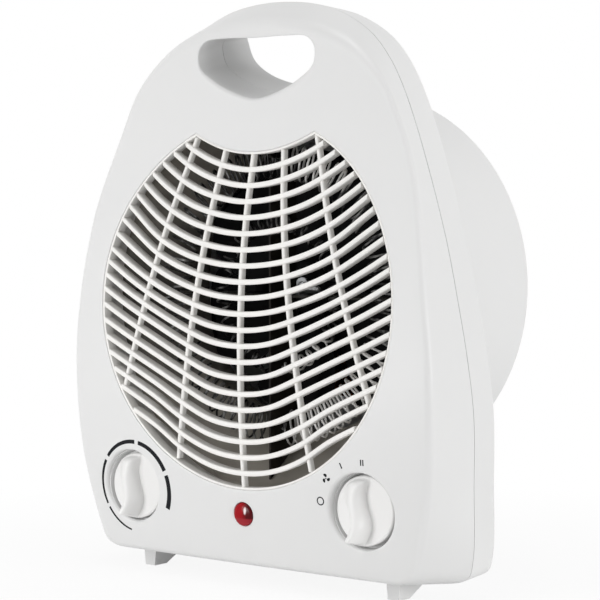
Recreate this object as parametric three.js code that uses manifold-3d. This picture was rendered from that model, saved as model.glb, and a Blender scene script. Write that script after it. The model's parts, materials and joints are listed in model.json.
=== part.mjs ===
// Fan convector heater: a domed front shell with a slatted round outlet and a carrying handle, a rear shell with a
// round drum, a wound heating element in a sheet funnel, and a shaded-pole motor that turns an axial fan.
// Millimetres, +Z up, the front faces -Y.
import * as THREE from "three";
import { mergeVertices } from "three/addons/utils/BufferGeometryUtils.js";
import Module from "manifold-3d";

const wasm = await Module();
wasm.setup();

// Clearances and counts
const GAP = 0.3;
const OVERRUN = 4;
const FINENESS = 0.05;
const OUTLINE_STEPS = 50;
const HANDLE_STEPS = 24;
const ROUND_STEPS = 36;
const SMALL_ROUND_STEPS = 12;
const ARC_STEPS = 14;
const RECESS_STEPS = 24;
const SCREW_STEPS = 8;
const HALVINGS = 30;

// Housing
const WALL = 2.5;
const FOOT_HEIGHT = 8.3;
const BODY_HALF_WIDTH = 101;
const BODY_HEIGHT = 241;
const FACE_SIDE_FLARE = 4;
const FACE_TOP_FLARE = 9;
const FACE_HALF_WIDTH = BODY_HALF_WIDTH - FACE_SIDE_FLARE;
const FACE_HEIGHT = BODY_HEIGHT - FACE_TOP_FLARE;
const SEAM_DEPTH = 28.5;
const PLATE_DEPTH = 47;
const REAR_DRAFT = 1;
const REAR_ROUND = 3;
const FACE_ROUND = 3;
const CROWN_ROUND = 5.5;
const CROWN_ROUND_RUN = 35;

// Front panel: a dome about the middle of the outlet that turns into a flat brow above it
const OUTLET_HEIGHT = 112.7;
const DOME_RADIUS_ACROSS = 1800;
const DOME_RADIUS_UP = 371;
const DOME_TWIST_LENGTH = 580;
const DOME_LEAN = 0.05255;
const BROW_DEPTH = 11.3;
const BROW_RISE = 71.3;
const BROW_LEAN = 0.02;
const BROW_BLEND = 3;

// Outlet grille
const OUTLET_RADIUS = 79.2;
const SMILE_RISE = 64.1;
const SMILE_RADIUS = 63.1;
const RING_WALL = 1;
const RING_BACK_DEPTH = 18;
const RING_FLANGE_THICKNESS = 3;
const RING_FLANGE_WIDTH = 4;
const SLAT_COUNT = 20;
const SLAT_PITCH = 6.765;
const TOP_SLAT_RISE = 56.5;
const SLAT_THICKNESS = 2.6;
const SLAT_NOSE_SHARE = 0.75;
const SLAT_DEPTH = 8;
const SLAT_STEPS = 8;
const BAR_WIDTH = 3;
const BAR_SET_BACK = 1;
const BAR_STEPS = 6;
const INNER_BAR_OFFSET = 25.6;
const INNER_BAR_LEAN = 0.1533;
const INNER_BAR_RADIUS = 10460;
const OUTER_BAR_OFFSET = 54.3;
const OUTER_BAR_LEAN = 0.3138;
const OUTER_BAR_RADIUS = 5200;

// Carrying handle
const HANDLE_HALF_WIDTH = 31.6;
const HANDLE_OPENING = 26.4;
const HANDLE_BAR = 15;
const HANDLE_FRONT_DEPTH = 12.9;
const HANDLE_REAR_HALF_WIDTH = 30;
const HANDLE_REAR_OPENING = 24.4;
const HANDLE_REAR_BAR = 10;

// Controls
const KNOB_SIDE_SET = 38.1;
const KNOB_OFFSET = BODY_HALF_WIDTH - KNOB_SIDE_SET;
const KNOB_HEIGHT = 29.4;
const KNOB_RADIUS = 14.6;
const KNOB_FACE_DEPTH = 4.5;
const KNOB_DISH = 0.6;
const KNOB_SKIRT_RADIUS = 11.6;
const KNOB_SKIRT_DEPTH = 2.5;
const KNOB_BORE_DEPTH = 9;
const RIDGE_TIP_DEPTH = -5.5;
const RIDGE_WIDTH = 7.6;
const RIDGE_SWAY = 1.7;
const RIDGE_TOP_REACH = 13.6;
const RIDGE_BOTTOM_REACH = 15.4;
const RIDGE_STEPS = 10;
const RIDGE_END_SHARE = 0.06;
const RIDGE_BOTTOM_SHARE = 1.12;
const RIDGE_TOP_SHARE = 0.75;
const RIDGE_SHOULDER_SHARE = 0.7;
const RIDGE_SHOULDER_DROP = 0.12;
const RECESS_RADIUS = 16.5;
const RECESS_FLOOR_RADIUS = 15.4;
const RECESS_FLOOR_DEPTH = 10.1;
const SPINDLE_RADIUS = 3;
const BUSH_RADIUS = 4.5;
const BUSH_LENGTH = 4.4;
const NUT_RADIUS = 7;
const NUT_THICKNESS = 2;
const NUT_SIDES = 6;
const CONTROL_SIDE = 24;
const CONTROL_PLATE_THICKNESS = 1.5;
const THERMOSTAT_BLOCK_WIDTH = 20;
const THERMOSTAT_BLOCK_HEIGHT = 14;
const THERMOSTAT_BLOCK_DEPTH = 12;
const SWITCH_BLOCK_DEPTH = 17;
const TAB_WIDTH = 6.3;
const TAB_THICKNESS = 0.8;
const TAB_LENGTH = 8;
const TAB_SPACING = 12;

// Pilot lamp
const LAMP_HEIGHT = 23;
const LAMP_RADIUS = 5.24;
const LAMP_FACE_DEPTH = 2.9;
const LAMP_FLANGE_WIDTH = 1.3;
const LAMP_FLANGE_THICKNESS = 1.2;
const LAMP_HOLDER_LENGTH = 13;

// Drum, pedestal and rear grille
const DRUM_RADIUS = 85.3;
const DRUM_HEIGHT = 118.4;
const DRUM_BACK_DEPTH = 96.2;
const DRUM_ROUND = 4;
const DRUM_ROOT_WIDTH = 2;
const DRUM_ROOT_LENGTH = 3;
const INTAKE_RADIUS = 76;
const LEDGE_RADIUS = 71;
const LEDGE_SET = 7;
const LEDGE_DEPTH = DRUM_BACK_DEPTH - LEDGE_SET;
const INSIDE_LENGTH = DRUM_BACK_DEPTH - RING_BACK_DEPTH;
const REAR_GRILLE_THICKNESS = 2.2;
const INTAKE_SLOT_REACH = 67;
const INTAKE_SLOT_HEIGHT = 7;
const INTAKE_SLOT_PITCH = 14;
const INTAKE_SLOT_COUNT = 9;
const INTAKE_RIB_WIDTH = 5;
const PEDESTAL_HALF_WIDTH = 55;
const PEDESTAL_SET = 11.2;
const PEDESTAL_BACK_DEPTH = DRUM_BACK_DEPTH - PEDESTAL_SET;
const PEDESTAL_HEIGHT = 48;
const PEDESTAL_ROUND = 8;
const GLAND_OFFSET = 30;
const GLAND_HEIGHT = 16;
const GLAND_RADIUS = 6;
const GLAND_FLANGE_WIDTH = 2.4;
const GLAND_FLANGE_THICKNESS = 2.2;
const GLAND_BORE_RADIUS = 3.3;
const TERMINAL_WIDTH = 32;
const TERMINAL_DEPTH = 13;
const TERMINAL_HEIGHT = 12;
const TERMINAL_BACK_SPACE = 9;
const TERMINAL_BORE_RADIUS = 2.2;
const TERMINAL_WAYS = 3;

// Feet
const FOOT_SIDE_SET = 33.8;
const FOOT_FRONT_DEPTH = 19.5;
const FOOT_LENGTH = 23;
const FOOT_SOLE_LENGTH = 8;
const FOOT_WIDTH = 5.5;
const FOOT_FLARE = 1.5;
const REAR_FOOT_SIDE_SET = 11;
const REAR_FOOT_SET = 29;
const REAR_FOOT_FRONT_DEPTH = PEDESTAL_BACK_DEPTH - REAR_FOOT_SET;

// Housing screws, through the rear shell into the front one
const SCREW_RADIUS = 1.6;
const SCREW_HEAD_RADIUS = 3.3;
const SCREW_HEAD_THICKNESS = 2.2;
const SCREW_HEAD_SINK = 11;
const SCREW_GRIP = 18;
const POST_RADIUS = 4.8;
const LOW_SCREW_SIDE_SET = 20;
const LOW_SCREW_HEIGHT = 11.5;
const HIGH_SCREW_CLEARANCE = 15.4;
const HIGH_SCREW_TOP_SET = 31;

// Heat shield: a sheet funnel from the outlet down to the fan
const SHIELD_FRONT_RADIUS = 81;
const SHIELD_REAR_RADIUS = 65.5;
const SHIELD_NECK_DEPTH = RING_BACK_DEPTH + 0.358 * INSIDE_LENGTH;
const SHIELD_BACK_DEPTH = RING_BACK_DEPTH + 0.5115 * INSIDE_LENGTH;
const SHIELD_SHEET = 0.8;
const SHIELD_LIP_WIDTH = 4;
const SHIELD_STEPS = 30;

// Heating element
const BOARD_FRONT_DEPTH = RING_BACK_DEPTH + 0.0512 * INSIDE_LENGTH;
const BOARD_BACK_DEPTH = RING_BACK_DEPTH + 0.2813 * INSIDE_LENGTH;
const BOARD_THICKNESS = 0.9;
const BOARD_CLEARANCE = 0.5;
const COIL_DEPTH = BOARD_FRONT_DEPTH + (BOARD_BACK_DEPTH - BOARD_FRONT_DEPTH) / 3;
const COIL_RADIUS = 3;
const WIRE_RADIUS = 0.5;
const WIRE_SIDES = 5;
const CURL_STEPS = 8;
const NOTCH_WIDTH = 10;
const NOTCH_DEPTH = 1.835 * (COIL_DEPTH - BOARD_FRONT_DEPTH);
const OUTER_COIL_RADIUS = 54;
const OUTER_COIL_CURLS = 30;
const INNER_COIL_RADIUS = 31;
const INNER_COIL_CURLS = 16;
const CUTOUT_RADIUS = 6;
const CUTOUT_HEIGHT = 5;
const FUSE_RADIUS = 1.9;
const FUSE_LENGTH = 13;
const FUSE_OFFSET = 14;

// Fan and motor, on the drum's axis
const SHAFT_RADIUS = 2;
const STACK_SET = 19.1;
const STACK_FRONT_DEPTH = LEDGE_DEPTH - STACK_SET;
const FAN_SPACE = STACK_FRONT_DEPTH - BOARD_BACK_DEPTH;
const SHAFT_FRONT_DEPTH = BOARD_BACK_DEPTH + 0.153 * FAN_SPACE;
const SHAFT_BACK_DEPTH = LEDGE_DEPTH - 2.2;
const HUB_RADIUS = 12;
const HUB_FRONT_DEPTH = BOARD_BACK_DEPTH + 0.2 * FAN_SPACE;
const HUB_LENGTH = 0.332 * FAN_SPACE;
const HUB_ROUND = 2;
const BLADE_COUNT = 6;
const BLADE_TIP_RADIUS = 60;
const BLADE_ROOT_CHORD = 15;
const BLADE_TIP_CHORD = 32;
const BLADE_THICKNESS = 1.5;
const BLADE_SWEEP = 6;
const CLIP_RADIUS = 4;
const CLIP_THICKNESS = 1.2;
const STACK_LENGTH = 12;
const STACK_HALF_WIDTH = 29;
const STACK_TOP_RISE = 19;
const STACK_DROP = 44;
const LIMB_WIDTH = 10;
const YOKE_DROP = 17;
const ROTOR_RADIUS = 12;
const ROTOR_AIR_GAP = 0.6;
const LEG_HEIGHT = 10;
const BOBBIN_WALL = 1.2;
const BOBBIN_HALF_LENGTH = 17.5;
const FLANGE_RISE = 4;
const WINDING_RISE = 3.4;
const BRACKET_SHEET = 1.5;
const BRACKET_HEIGHT = 14;
const BRACKET_STAND_OFF = 3.2;
const BRACKET_LEG_WIDTH = 8;
const BEARING_RADIUS = 5;
const BEARING_LENGTH = 4.6;
const MOTOR_SCREW_OFFSET = 24.5;
const MOTOR_SCREW_RADIUS = 1.4;
const MOTOR_SCREW_HEAD_RADIUS = 2.8;
const MOTOR_SCREW_HEAD_THICKNESS = 1.5;
const MOUNT_HALF_HEIGHT = 10;
const MOUNT_HALF_LENGTH = 80;
const MOUNT_SHEET = 1.5;
const MOUNT_BORE_RADIUS = 7;
const MOUNT_SCREW_OFFSET = 76.3;
const MOUNT_SCREW_RISE = 5.5;
const MOUNT_SCREW_LENGTH = 4.5;

// Outlines, right half from bottom to top, as shares of half width and height
const faceOutlineShares = [
  [0, 0.002], [0.472, 0.002], [0.776, 0.002], [0.858, 0.0145], [0.9, 0.054], [0.977, 0.181],
  [1, 0.31], [0.998, 0.401], [0.973, 0.503], [0.943, 0.588], [0.912, 0.658], [0.86, 0.733],
  [0.789, 0.806], [0.697, 0.881], [0.592, 0.929], [0.466, 0.963], [0.262, 0.989], [0, 1],
];
const bodyOutlineShares = [
  [0, 0], [0.499, 0], [0.893, 0], [0.974, 0.013], [0.999, 0.05], [1, 0.166],
  [0.998, 0.282], [0.966, 0.382], [0.918, 0.481], [0.871, 0.568], [0.826, 0.635], [0.773, 0.705],
  [0.714, 0.776], [0.649, 0.842], [0.579, 0.894], [0.474, 0.942], [0.274, 0.985], [0, 1],
];
const handleOutlineShares = [
  [0, 0], [0.437, 0.125], [0.747, 0.303], [0.962, 0.489], [1, 0.644], [0.962, 0.803], [0.728, 0.985], [0, 1],
];
const panelRingShares = [0.55, 0.68, 0.84, 1];
const cornerRingShares = [0.3, 0.7, 1];

// Rise of every third slat from the top one down, at even steps outwards, all as shares of the outlet's radius
const SLATS_PER_FORM = 3;
const slatFormShares = [
  [0, 0.027, 0.1, 0.221, 0.376, 0.551],
  [0, 0.02, 0.074, 0.175, 0.312, 0.463],
  [0, 0.014, 0.058, 0.142, 0.283, 0.43],
  [0, 0.016, 0.068, 0.142, 0.243, 0.362],
  [0, 0.021, 0.094, 0.181, 0.27, 0.37],
  [0, 0.023, 0.105, 0.193, 0.28, 0.37],
  [0, 0.022, 0.095, 0.215, 0.311, 0.4],
];

const material = (color, roughness, metalness = 0) =>
  new THREE.MeshStandardMaterial({ color, roughness, metalness });
const materials = {
  shell: material(0xe6e5e4, 0.45),
  grille: material(0xece8e2, 0.45),
  knob: material(0xe9e8e7, 0.4),
  lamp: material(0xa0140c, 0.2),
  dark: material(0x3c3a37, 0.6),
  sheet: material(0x77716a, 0.4, 0.9),
  mica: material(0xcdbf9f, 0.7),
  wire: material(0xa9a49c, 0.35, 1),
  steel: material(0xb6b8ba, 0.35, 1),
  core: material(0x6c6d70, 0.5, 0.8),
  copper: material(0xb5652c, 0.35, 1),
  brass: material(0xbf9a4b, 0.35, 1),
  plastic: material(0xd9d4c8, 0.5),
};

// A closed mesh as a solid whose faces point out, whichever way its outline runs.
function solid(geometry) {
  const bare = new THREE.BufferGeometry().setAttribute("position", geometry.getAttribute("position").clone());
  if (geometry.index) bare.setIndex(geometry.index.clone());
  const merged = mergeVertices(bare);
  const triVerts = [];
  const corners = merged.index.array;
  for (let i = 0; i < corners.length; i += 3) {
    const [a, b, c] = [corners[i], corners[i + 1], corners[i + 2]];
    if (a !== b && b !== c && c !== a) triVerts.push(a, b, c);
  }
  const build = () =>
    new wasm.Manifold(
      new wasm.Mesh({
        numProp: 3,
        vertProperties: merged.attributes.position.array,
        triVerts: new Uint32Array(triVerts),
      }),
    );
  const made = build();
  if (made.volume() > 0) return made;
  triVerts.reverse();
  return build();
}

function geometryOf(body) {
  const mesh = body.simplify(FINENESS).getMesh();
  const points = new Float32Array(mesh.numVert * 3);
  for (let i = 0; i < mesh.numVert; i++) {
    points.set(mesh.vertProperties.subarray(i * mesh.numProp, i * mesh.numProp + 3), i * 3);
  }
  return new THREE.BufferGeometry()
    .setAttribute("position", new THREE.BufferAttribute(points, 3))
    .setIndex(new THREE.BufferAttribute(new Uint32Array(mesh.triVerts), 1));
}

const join = (bodies) => bodies.reduce((sum, body) => sum.add(body));
const cut = (body, tools) => tools.reduce((rest, tool) => rest.subtract(tool), body);
const moved = (body, x, y, z) => body.translate([x, y, z]);

// A body skinned over rings of as many points each, closed by a fan at both ends, or back onto its first ring.
function loft(rings, endless = false) {
  const count = rings[0].length;
  const middle = (ring) =>
    ring.reduce((sum, point) => sum.add(point), new THREE.Vector3()).divideScalar(count);
  const points = [...rings.flat(), middle(rings[0]), middle(rings.at(-1))];
  const first = points.length - 2;
  const last = points.length - 1;
  const index = [];
  for (let j = 0; j < count; j++) {
    const next = (j + 1) % count;
    for (let i = 0; i + 1 < rings.length + (endless ? 1 : 0); i++) {
      const [a, b] = [i * count + j, i * count + next];
      const after = ((i + 1) % rings.length) * count;
      const [d, c] = [after + j, after + next];
      index.push(a, d, b, b, d, c);
    }
    if (endless) continue;
    const base = (rings.length - 1) * count;
    index.push(first, j, next, last, base + next, base + j);
  }
  return solid(new THREE.BufferGeometry().setFromPoints(points).setIndex(index));
}

// A body turned about the Y axis from a closed outline of radius and depth.
function turned(outline, steps = ROUND_STEPS) {
  const points = [...outline, outline[0]].map(([radius, depth]) => new THREE.Vector2(radius, depth));
  return solid(new THREE.LatheGeometry(points, steps));
}
const pin = (radius, front, back, steps = SCREW_STEPS) =>
  turned([[0, front], [radius, front], [radius, back], [0, back]], steps);
const tube = (inner, outer, front, back, steps = SMALL_ROUND_STEPS) =>
  turned([[inner, front], [outer, front], [outer, back], [inner, back]], steps);

// A flat outline in X and Z, pushed from one depth to another.
function pushed(shape, front, back, curveSegments = ARC_STEPS) {
  const geometry = new THREE.ExtrudeGeometry(shape, { depth: back - front, bevelEnabled: false, curveSegments });
  return solid(geometry.rotateX(Math.PI / 2).translate(0, back, 0));
}
function shapeOf(points) {
  return new THREE.Shape(points.map(([x, z]) => new THREE.Vector2(x, z)));
}
function block(x0, x1, y0, y1, z0, z1) {
  const geometry = new THREE.BoxGeometry(x1 - x0, y1 - y0, z1 - z0);
  return solid(geometry.translate((x0 + x1) / 2, (y0 + y1) / 2, (z0 + z1) / 2));
}

// Depth of the front panel's face at a place, with heights taken from the shell's underside
function panelDepth(x, height) {
  const rise = height - OUTLET_HEIGHT;
  const dome =
    (x * x) / (2 * DOME_RADIUS_ACROSS) +
    DOME_LEAN * rise +
    (rise * rise) / (2 * DOME_RADIUS_UP) +
    (rise * rise * rise) / (DOME_TWIST_LENGTH * DOME_TWIST_LENGTH);
  if (rise <= 0) return dome;
  const brow = BROW_DEPTH + BROW_LEAN * (rise - BROW_RISE);
  const near = Math.max(BROW_BLEND - Math.abs(dome - brow), 0) / BROW_BLEND;
  return Math.min(dome, brow) - (near * near * BROW_BLEND) / 4;
}

// A closed outline through control points given for its right half
function outline(shares, halfWidth, height, lift, steps) {
  const right = shares.map(([x, z]) => new THREE.Vector3(x * halfWidth, 0, lift + z * height));
  const left = right.slice(1, -1).reverse().map((point) => new THREE.Vector3(-point.x, 0, point.z));
  const curve = new THREE.CatmullRomCurve3([...right, ...left], true, "centripetal");
  return Array.from({ length: steps }, (_, i) => {
    const point = curve.getPoint(i / steps);
    return point.setZ(Math.max(point.z, right[0].z));
  });
}

// The outline moved inwards by a distance, which may differ from point to point
function inset(ring, distance) {
  return ring.map((point, i) => {
    const before = ring.at(i - 1);
    const after = ring[(i + 1) % ring.length];
    const along = after.clone().sub(before).setY(0).normalize();
    const step = typeof distance === "function" ? distance(point) : distance;
    return new THREE.Vector3(point.x - along.z * step, point.y, point.z + along.x * step);
  });
}
const atDepth = (ring, depth) => ring.map((point) => point.clone().setY(depth));
const onPanel = (ring, set) => ring.map((point) => point.clone().setY(panelDepth(point.x, point.z) + set));

const faceEdge = onPanel(outline(faceOutlineShares, FACE_HALF_WIDTH, FACE_HEIGHT, 0, OUTLINE_STEPS), 0);
const bodyEdge = outline(bodyOutlineShares, BODY_HALF_WIDTH, BODY_HEIGHT, 0, OUTLINE_STEPS);

function edgeRound(point) {
  const t = THREE.MathUtils.smoothstep(point.z, FACE_HEIGHT - CROWN_ROUND_RUN, FACE_HEIGHT);
  return FACE_ROUND + (CROWN_ROUND - FACE_ROUND) * t;
}

// Rings over the panel from near its middle out to the given edge
function panelRings(edge, set) {
  return panelRingShares.map((share) =>
    onPanel(
      edge.map(
        (point) =>
          new THREE.Vector3(point.x * share, 0, OUTLET_HEIGHT + (point.z - OUTLET_HEIGHT) * share),
      ),
      set,
    ),
  );
}

function frontSkin() {
  const start = onPanel(inset(faceEdge, edgeRound), 0);
  const seam = atDepth(bodyEdge, SEAM_DEPTH - GAP / 2);
  const corner = cornerRingShares.map((t) =>
    start.map((point, i) => {
      const towards = seam[i].clone().sub(faceEdge[i]).setLength(edgeRound(faceEdge[i]));
      const end = faceEdge[i].clone().add(towards);
      return new THREE.QuadraticBezierCurve3(point, faceEdge[i], end).getPoint(t);
    }),
  );
  return loft([...panelRings(start, 0), ...corner, seam]);
}

function frontHollow() {
  const flat = inset(faceEdge, WALL + FACE_ROUND);
  const side = inset(faceEdge, WALL).map((point, i) => point.setY(faceEdge[i].y + WALL + FACE_ROUND));
  const seam = atDepth(inset(bodyEdge, WALL), SEAM_DEPTH + OVERRUN);
  return loft([...panelRings(flat, WALL), side, seam]);
}

// The hand hole rises a little from the face to the rear plate; grown by a wall it makes the sleeve round it
function handleHole(front, back, grown) {
  const ring = (depth) => {
    const t = (depth - HANDLE_FRONT_DEPTH) / (PLATE_DEPTH - HANDLE_FRONT_DEPTH);
    const halfWidth = THREE.MathUtils.lerp(HANDLE_HALF_WIDTH, HANDLE_REAR_HALF_WIDTH, t);
    const opening = THREE.MathUtils.lerp(HANDLE_OPENING, HANDLE_REAR_OPENING, t);
    const top = BODY_HEIGHT - THREE.MathUtils.lerp(HANDLE_BAR, HANDLE_REAR_BAR, t);
    const edge = outline(handleOutlineShares, halfWidth, opening, top - opening, HANDLE_STEPS);
    return atDepth(inset(edge, -grown), depth);
  };
  return loft([ring(front), ring(back)]);
}

// The outlet: a circle whose top is cut off by a smile-shaped arc, sag + x^2 / (2 r) above its middle
function outletOutline() {
  const [radius, sag] = [OUTLET_RADIUS, SMILE_RISE];
  const rise = Math.sqrt(radius * radius + SMILE_RADIUS * SMILE_RADIUS + 2 * sag * SMILE_RADIUS) - SMILE_RADIUS;
  const reach = Math.sqrt(radius * radius - rise * rise);
  const angle = Math.atan2(rise, reach);
  const shape = new THREE.Shape();
  shape.absarc(0, OUTLET_HEIGHT, radius, Math.PI - angle, 2 * Math.PI + angle, false);
  shape.quadraticCurveTo(0, OUTLET_HEIGHT + 2 * sag - rise, -reach, OUTLET_HEIGHT + rise);
  return shape.extractPoints(ARC_STEPS).shape.map((point) => new THREE.Vector3(point.x, 0, point.y));
}
const outletEdge = outletOutline();
const outletRing = (grown) => onPanel(inset(outletEdge, -grown), 0);

const knobPlaces = [-KNOB_OFFSET, KNOB_OFFSET];
const screwPlaces = [
  [BODY_HALF_WIDTH - LOW_SCREW_SIDE_SET, LOW_SCREW_HEIGHT],
  [HANDLE_HALF_WIDTH + HIGH_SCREW_CLEARANCE, BODY_HEIGHT - HIGH_SCREW_TOP_SET],
].flatMap(([x, z]) => [[-x, z], [x, z]]);
const screwHeadDepth = PLATE_DEPTH - SCREW_HEAD_SINK;
const screwTipDepth = screwHeadDepth - SCREW_HEAD_THICKNESS - SCREW_GRIP;

function recess(grown, front) {
  return turned(
    [
      [0, front], [RECESS_RADIUS + grown, front], [RECESS_RADIUS + grown, KNOB_FACE_DEPTH + KNOB_DISH],
      [RECESS_FLOOR_RADIUS + grown, RECESS_FLOOR_DEPTH + grown], [0, RECESS_FLOOR_DEPTH + grown],
    ],
    RECESS_STEPS,
  );
}

function frontHousing() {
  const skin = frontSkin();
  const sleeve = handleHole(HANDLE_FRONT_DEPTH - OVERRUN, SEAM_DEPTH + OVERRUN, WALL);
  const cups = knobPlaces.map((x) => moved(recess(WALL, 0), x, 0, KNOB_HEIGHT));
  const posts = screwPlaces.map(([x, z]) =>
    moved(pin(POST_RADIUS, 0, SEAM_DEPTH + OVERRUN, SCREW_STEPS), x, 0, z),
  );
  const hollow = cut(frontHollow(), [sleeve, ...cups, ...posts]);
  return cut(skin, [
    hollow,
    loft([atDepth(outletEdge, -OVERRUN), atDepth(outletEdge, RING_BACK_DEPTH)]),
    handleHole(-OVERRUN, SEAM_DEPTH + OVERRUN, 0),
    ...knobPlaces.map((x) => moved(recess(0, -OVERRUN), x, 0, KNOB_HEIGHT)),
    ...knobPlaces.map((x) => moved(pin(BUSH_RADIUS + GAP, 0, SEAM_DEPTH, SMALL_ROUND_STEPS), x, 0, KNOB_HEIGHT)),
    moved(pin(LAMP_RADIUS, -OVERRUN, SEAM_DEPTH, SMALL_ROUND_STEPS), 0, 0, LAMP_HEIGHT),
    ...screwPlaces.map(([x, z]) => moved(pin(SCREW_RADIUS + GAP, screwTipDepth - GAP, SEAM_DEPTH + OVERRUN), x, 0, z)),
  ]);
}

// Height of a slat's middle line over its span
function slatHeight(row, x) {
  const place = Math.min(row / SLATS_PER_FORM, slatFormShares.length - 1);
  const form = Math.min(Math.floor(place), slatFormShares.length - 2);
  const rises = slatFormShares[form].map((share, i) =>
    THREE.MathUtils.lerp(share, slatFormShares[form + 1][i], place - form),
  );
  const last = rises.length - 1;
  const reach = Math.min(Math.abs(x) / OUTLET_RADIUS, 1) * last;
  const step = Math.min(Math.floor(reach), last - 1);
  const t = reach - step;
  const slope = (i) => (rises[Math.min(i + 1, last)] - rises[Math.abs(i - 1)]) / (i < last ? 2 : 1);
  const rise =
    rises[step] * (2 * t ** 3 - 3 * t ** 2 + 1) + slope(step) * (t ** 3 - 2 * t ** 2 + t) +
    rises[step + 1] * (3 * t ** 2 - 2 * t ** 3) + slope(step + 1) * (t ** 3 - t ** 2);
  return OUTLET_HEIGHT + TOP_SLAT_RISE - row * SLAT_PITCH + rise * OUTLET_RADIUS;
}

// Whether a place, measured from the outlet's middle, is short of the middle of the ring's wall
function insideRing(x, rise) {
  const set = GAP + RING_WALL / 2;
  return Math.hypot(x, rise) < OUTLET_RADIUS - set && rise < SMILE_RISE - set + (x * x) / (2 * SMILE_RADIUS);
}

// The last place along a run, from zero towards its far end, that a test still allows
function lastInside(far, allows) {
  let near = 0;
  for (let i = 0; i < HALVINGS; i++) {
    const middle = (near + far) / 2;
    if (allows(middle)) near = middle;
    else far = middle;
  }
  return near;
}

function slat(row) {
  const half = SLAT_THICKNESS / 2;
  const reach = lastInside(OUTLET_RADIUS, (x) =>
    [-half, half].every((edge) => insideRing(x, slatHeight(row, x) + edge - OUTLET_HEIGHT)),
  );
  const rings = Array.from({ length: SLAT_STEPS + 1 }, (_, i) => {
    const x = reach * ((2 * i) / SLAT_STEPS - 1);
    const z = slatHeight(row, x);
    const front = panelDepth(x, z);
    return [
      new THREE.Vector3(x, front, z - half * SLAT_NOSE_SHARE),
      new THREE.Vector3(x, front + SLAT_DEPTH, z - half),
      new THREE.Vector3(x, front + SLAT_DEPTH, z + half),
      new THREE.Vector3(x, front, z + half * SLAT_NOSE_SHARE),
    ];
  });
  return loft(rings);
}

function bar(offset, lean, radius, side) {
  const along = (rise) => side * (offset - lean * rise + (rise * rise) / (2 * radius));
  const allows = (rise) =>
    [-1, 1].every((edge) => insideRing(along(rise) + (edge * BAR_WIDTH) / 2, rise));
  const [low, high] = [lastInside(-OUTLET_RADIUS, allows), lastInside(OUTLET_RADIUS, allows)];
  const rings = Array.from({ length: BAR_STEPS + 1 }, (_, i) => {
    const rise = THREE.MathUtils.lerp(low, high, i / BAR_STEPS);
    const x = along(rise);
    const z = OUTLET_HEIGHT + rise;
    const front = panelDepth(x, z) + BAR_SET_BACK;
    const back = panelDepth(x, z) + SLAT_DEPTH - BAR_SET_BACK;
    return [
      new THREE.Vector3(x - BAR_WIDTH / 2, front, z),
      new THREE.Vector3(x + BAR_WIDTH / 2, front, z),
      new THREE.Vector3(x + BAR_WIDTH / 2, back, z),
      new THREE.Vector3(x - BAR_WIDTH / 2, back, z),
    ];
  });
  return loft(rings);
}

function frontGrille() {
  const outer = outletRing(-GAP);
  const inner = outletRing(-GAP - RING_WALL);
  const flange = outletRing(RING_FLANGE_WIDTH);
  const flangeFront = RING_BACK_DEPTH - RING_FLANGE_THICKNESS;
  const ring = loft(
    [
      outer, atDepth(outer, flangeFront), atDepth(flange, flangeFront),
      atDepth(flange, RING_BACK_DEPTH), atDepth(inner, RING_BACK_DEPTH), inner,
    ],
    true,
  );
  const bars = [
    bar(0, 0, INNER_BAR_RADIUS, 0),
    bar(INNER_BAR_OFFSET, INNER_BAR_LEAN, INNER_BAR_RADIUS, 1),
    bar(INNER_BAR_OFFSET, INNER_BAR_LEAN, INNER_BAR_RADIUS, -1),
    bar(OUTER_BAR_OFFSET, OUTER_BAR_LEAN, OUTER_BAR_RADIUS, 1),
    bar(OUTER_BAR_OFFSET, OUTER_BAR_LEAN, OUTER_BAR_RADIUS, -1),
  ];
  const slats = Array.from({ length: SLAT_COUNT }, (_, row) => slat(row));
  return join([ring, ...bars, ...slats]);
}

// Pedestal under the drum, seen from the rear
function pedestal(grown, front, back, bottom, top) {
  const half = PEDESTAL_HALF_WIDTH + grown;
  const round = PEDESTAL_ROUND;
  const shape = new THREE.Shape();
  shape.moveTo(-half, bottom + round);
  shape.absarc(-half + round, bottom + round, round, Math.PI, 1.5 * Math.PI, false);
  shape.absarc(half - round, bottom + round, round, 1.5 * Math.PI, 2 * Math.PI, false);
  shape.lineTo(half, top);
  shape.lineTo(-half, top);
  return pushed(shape, front, back, 4);
}

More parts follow.
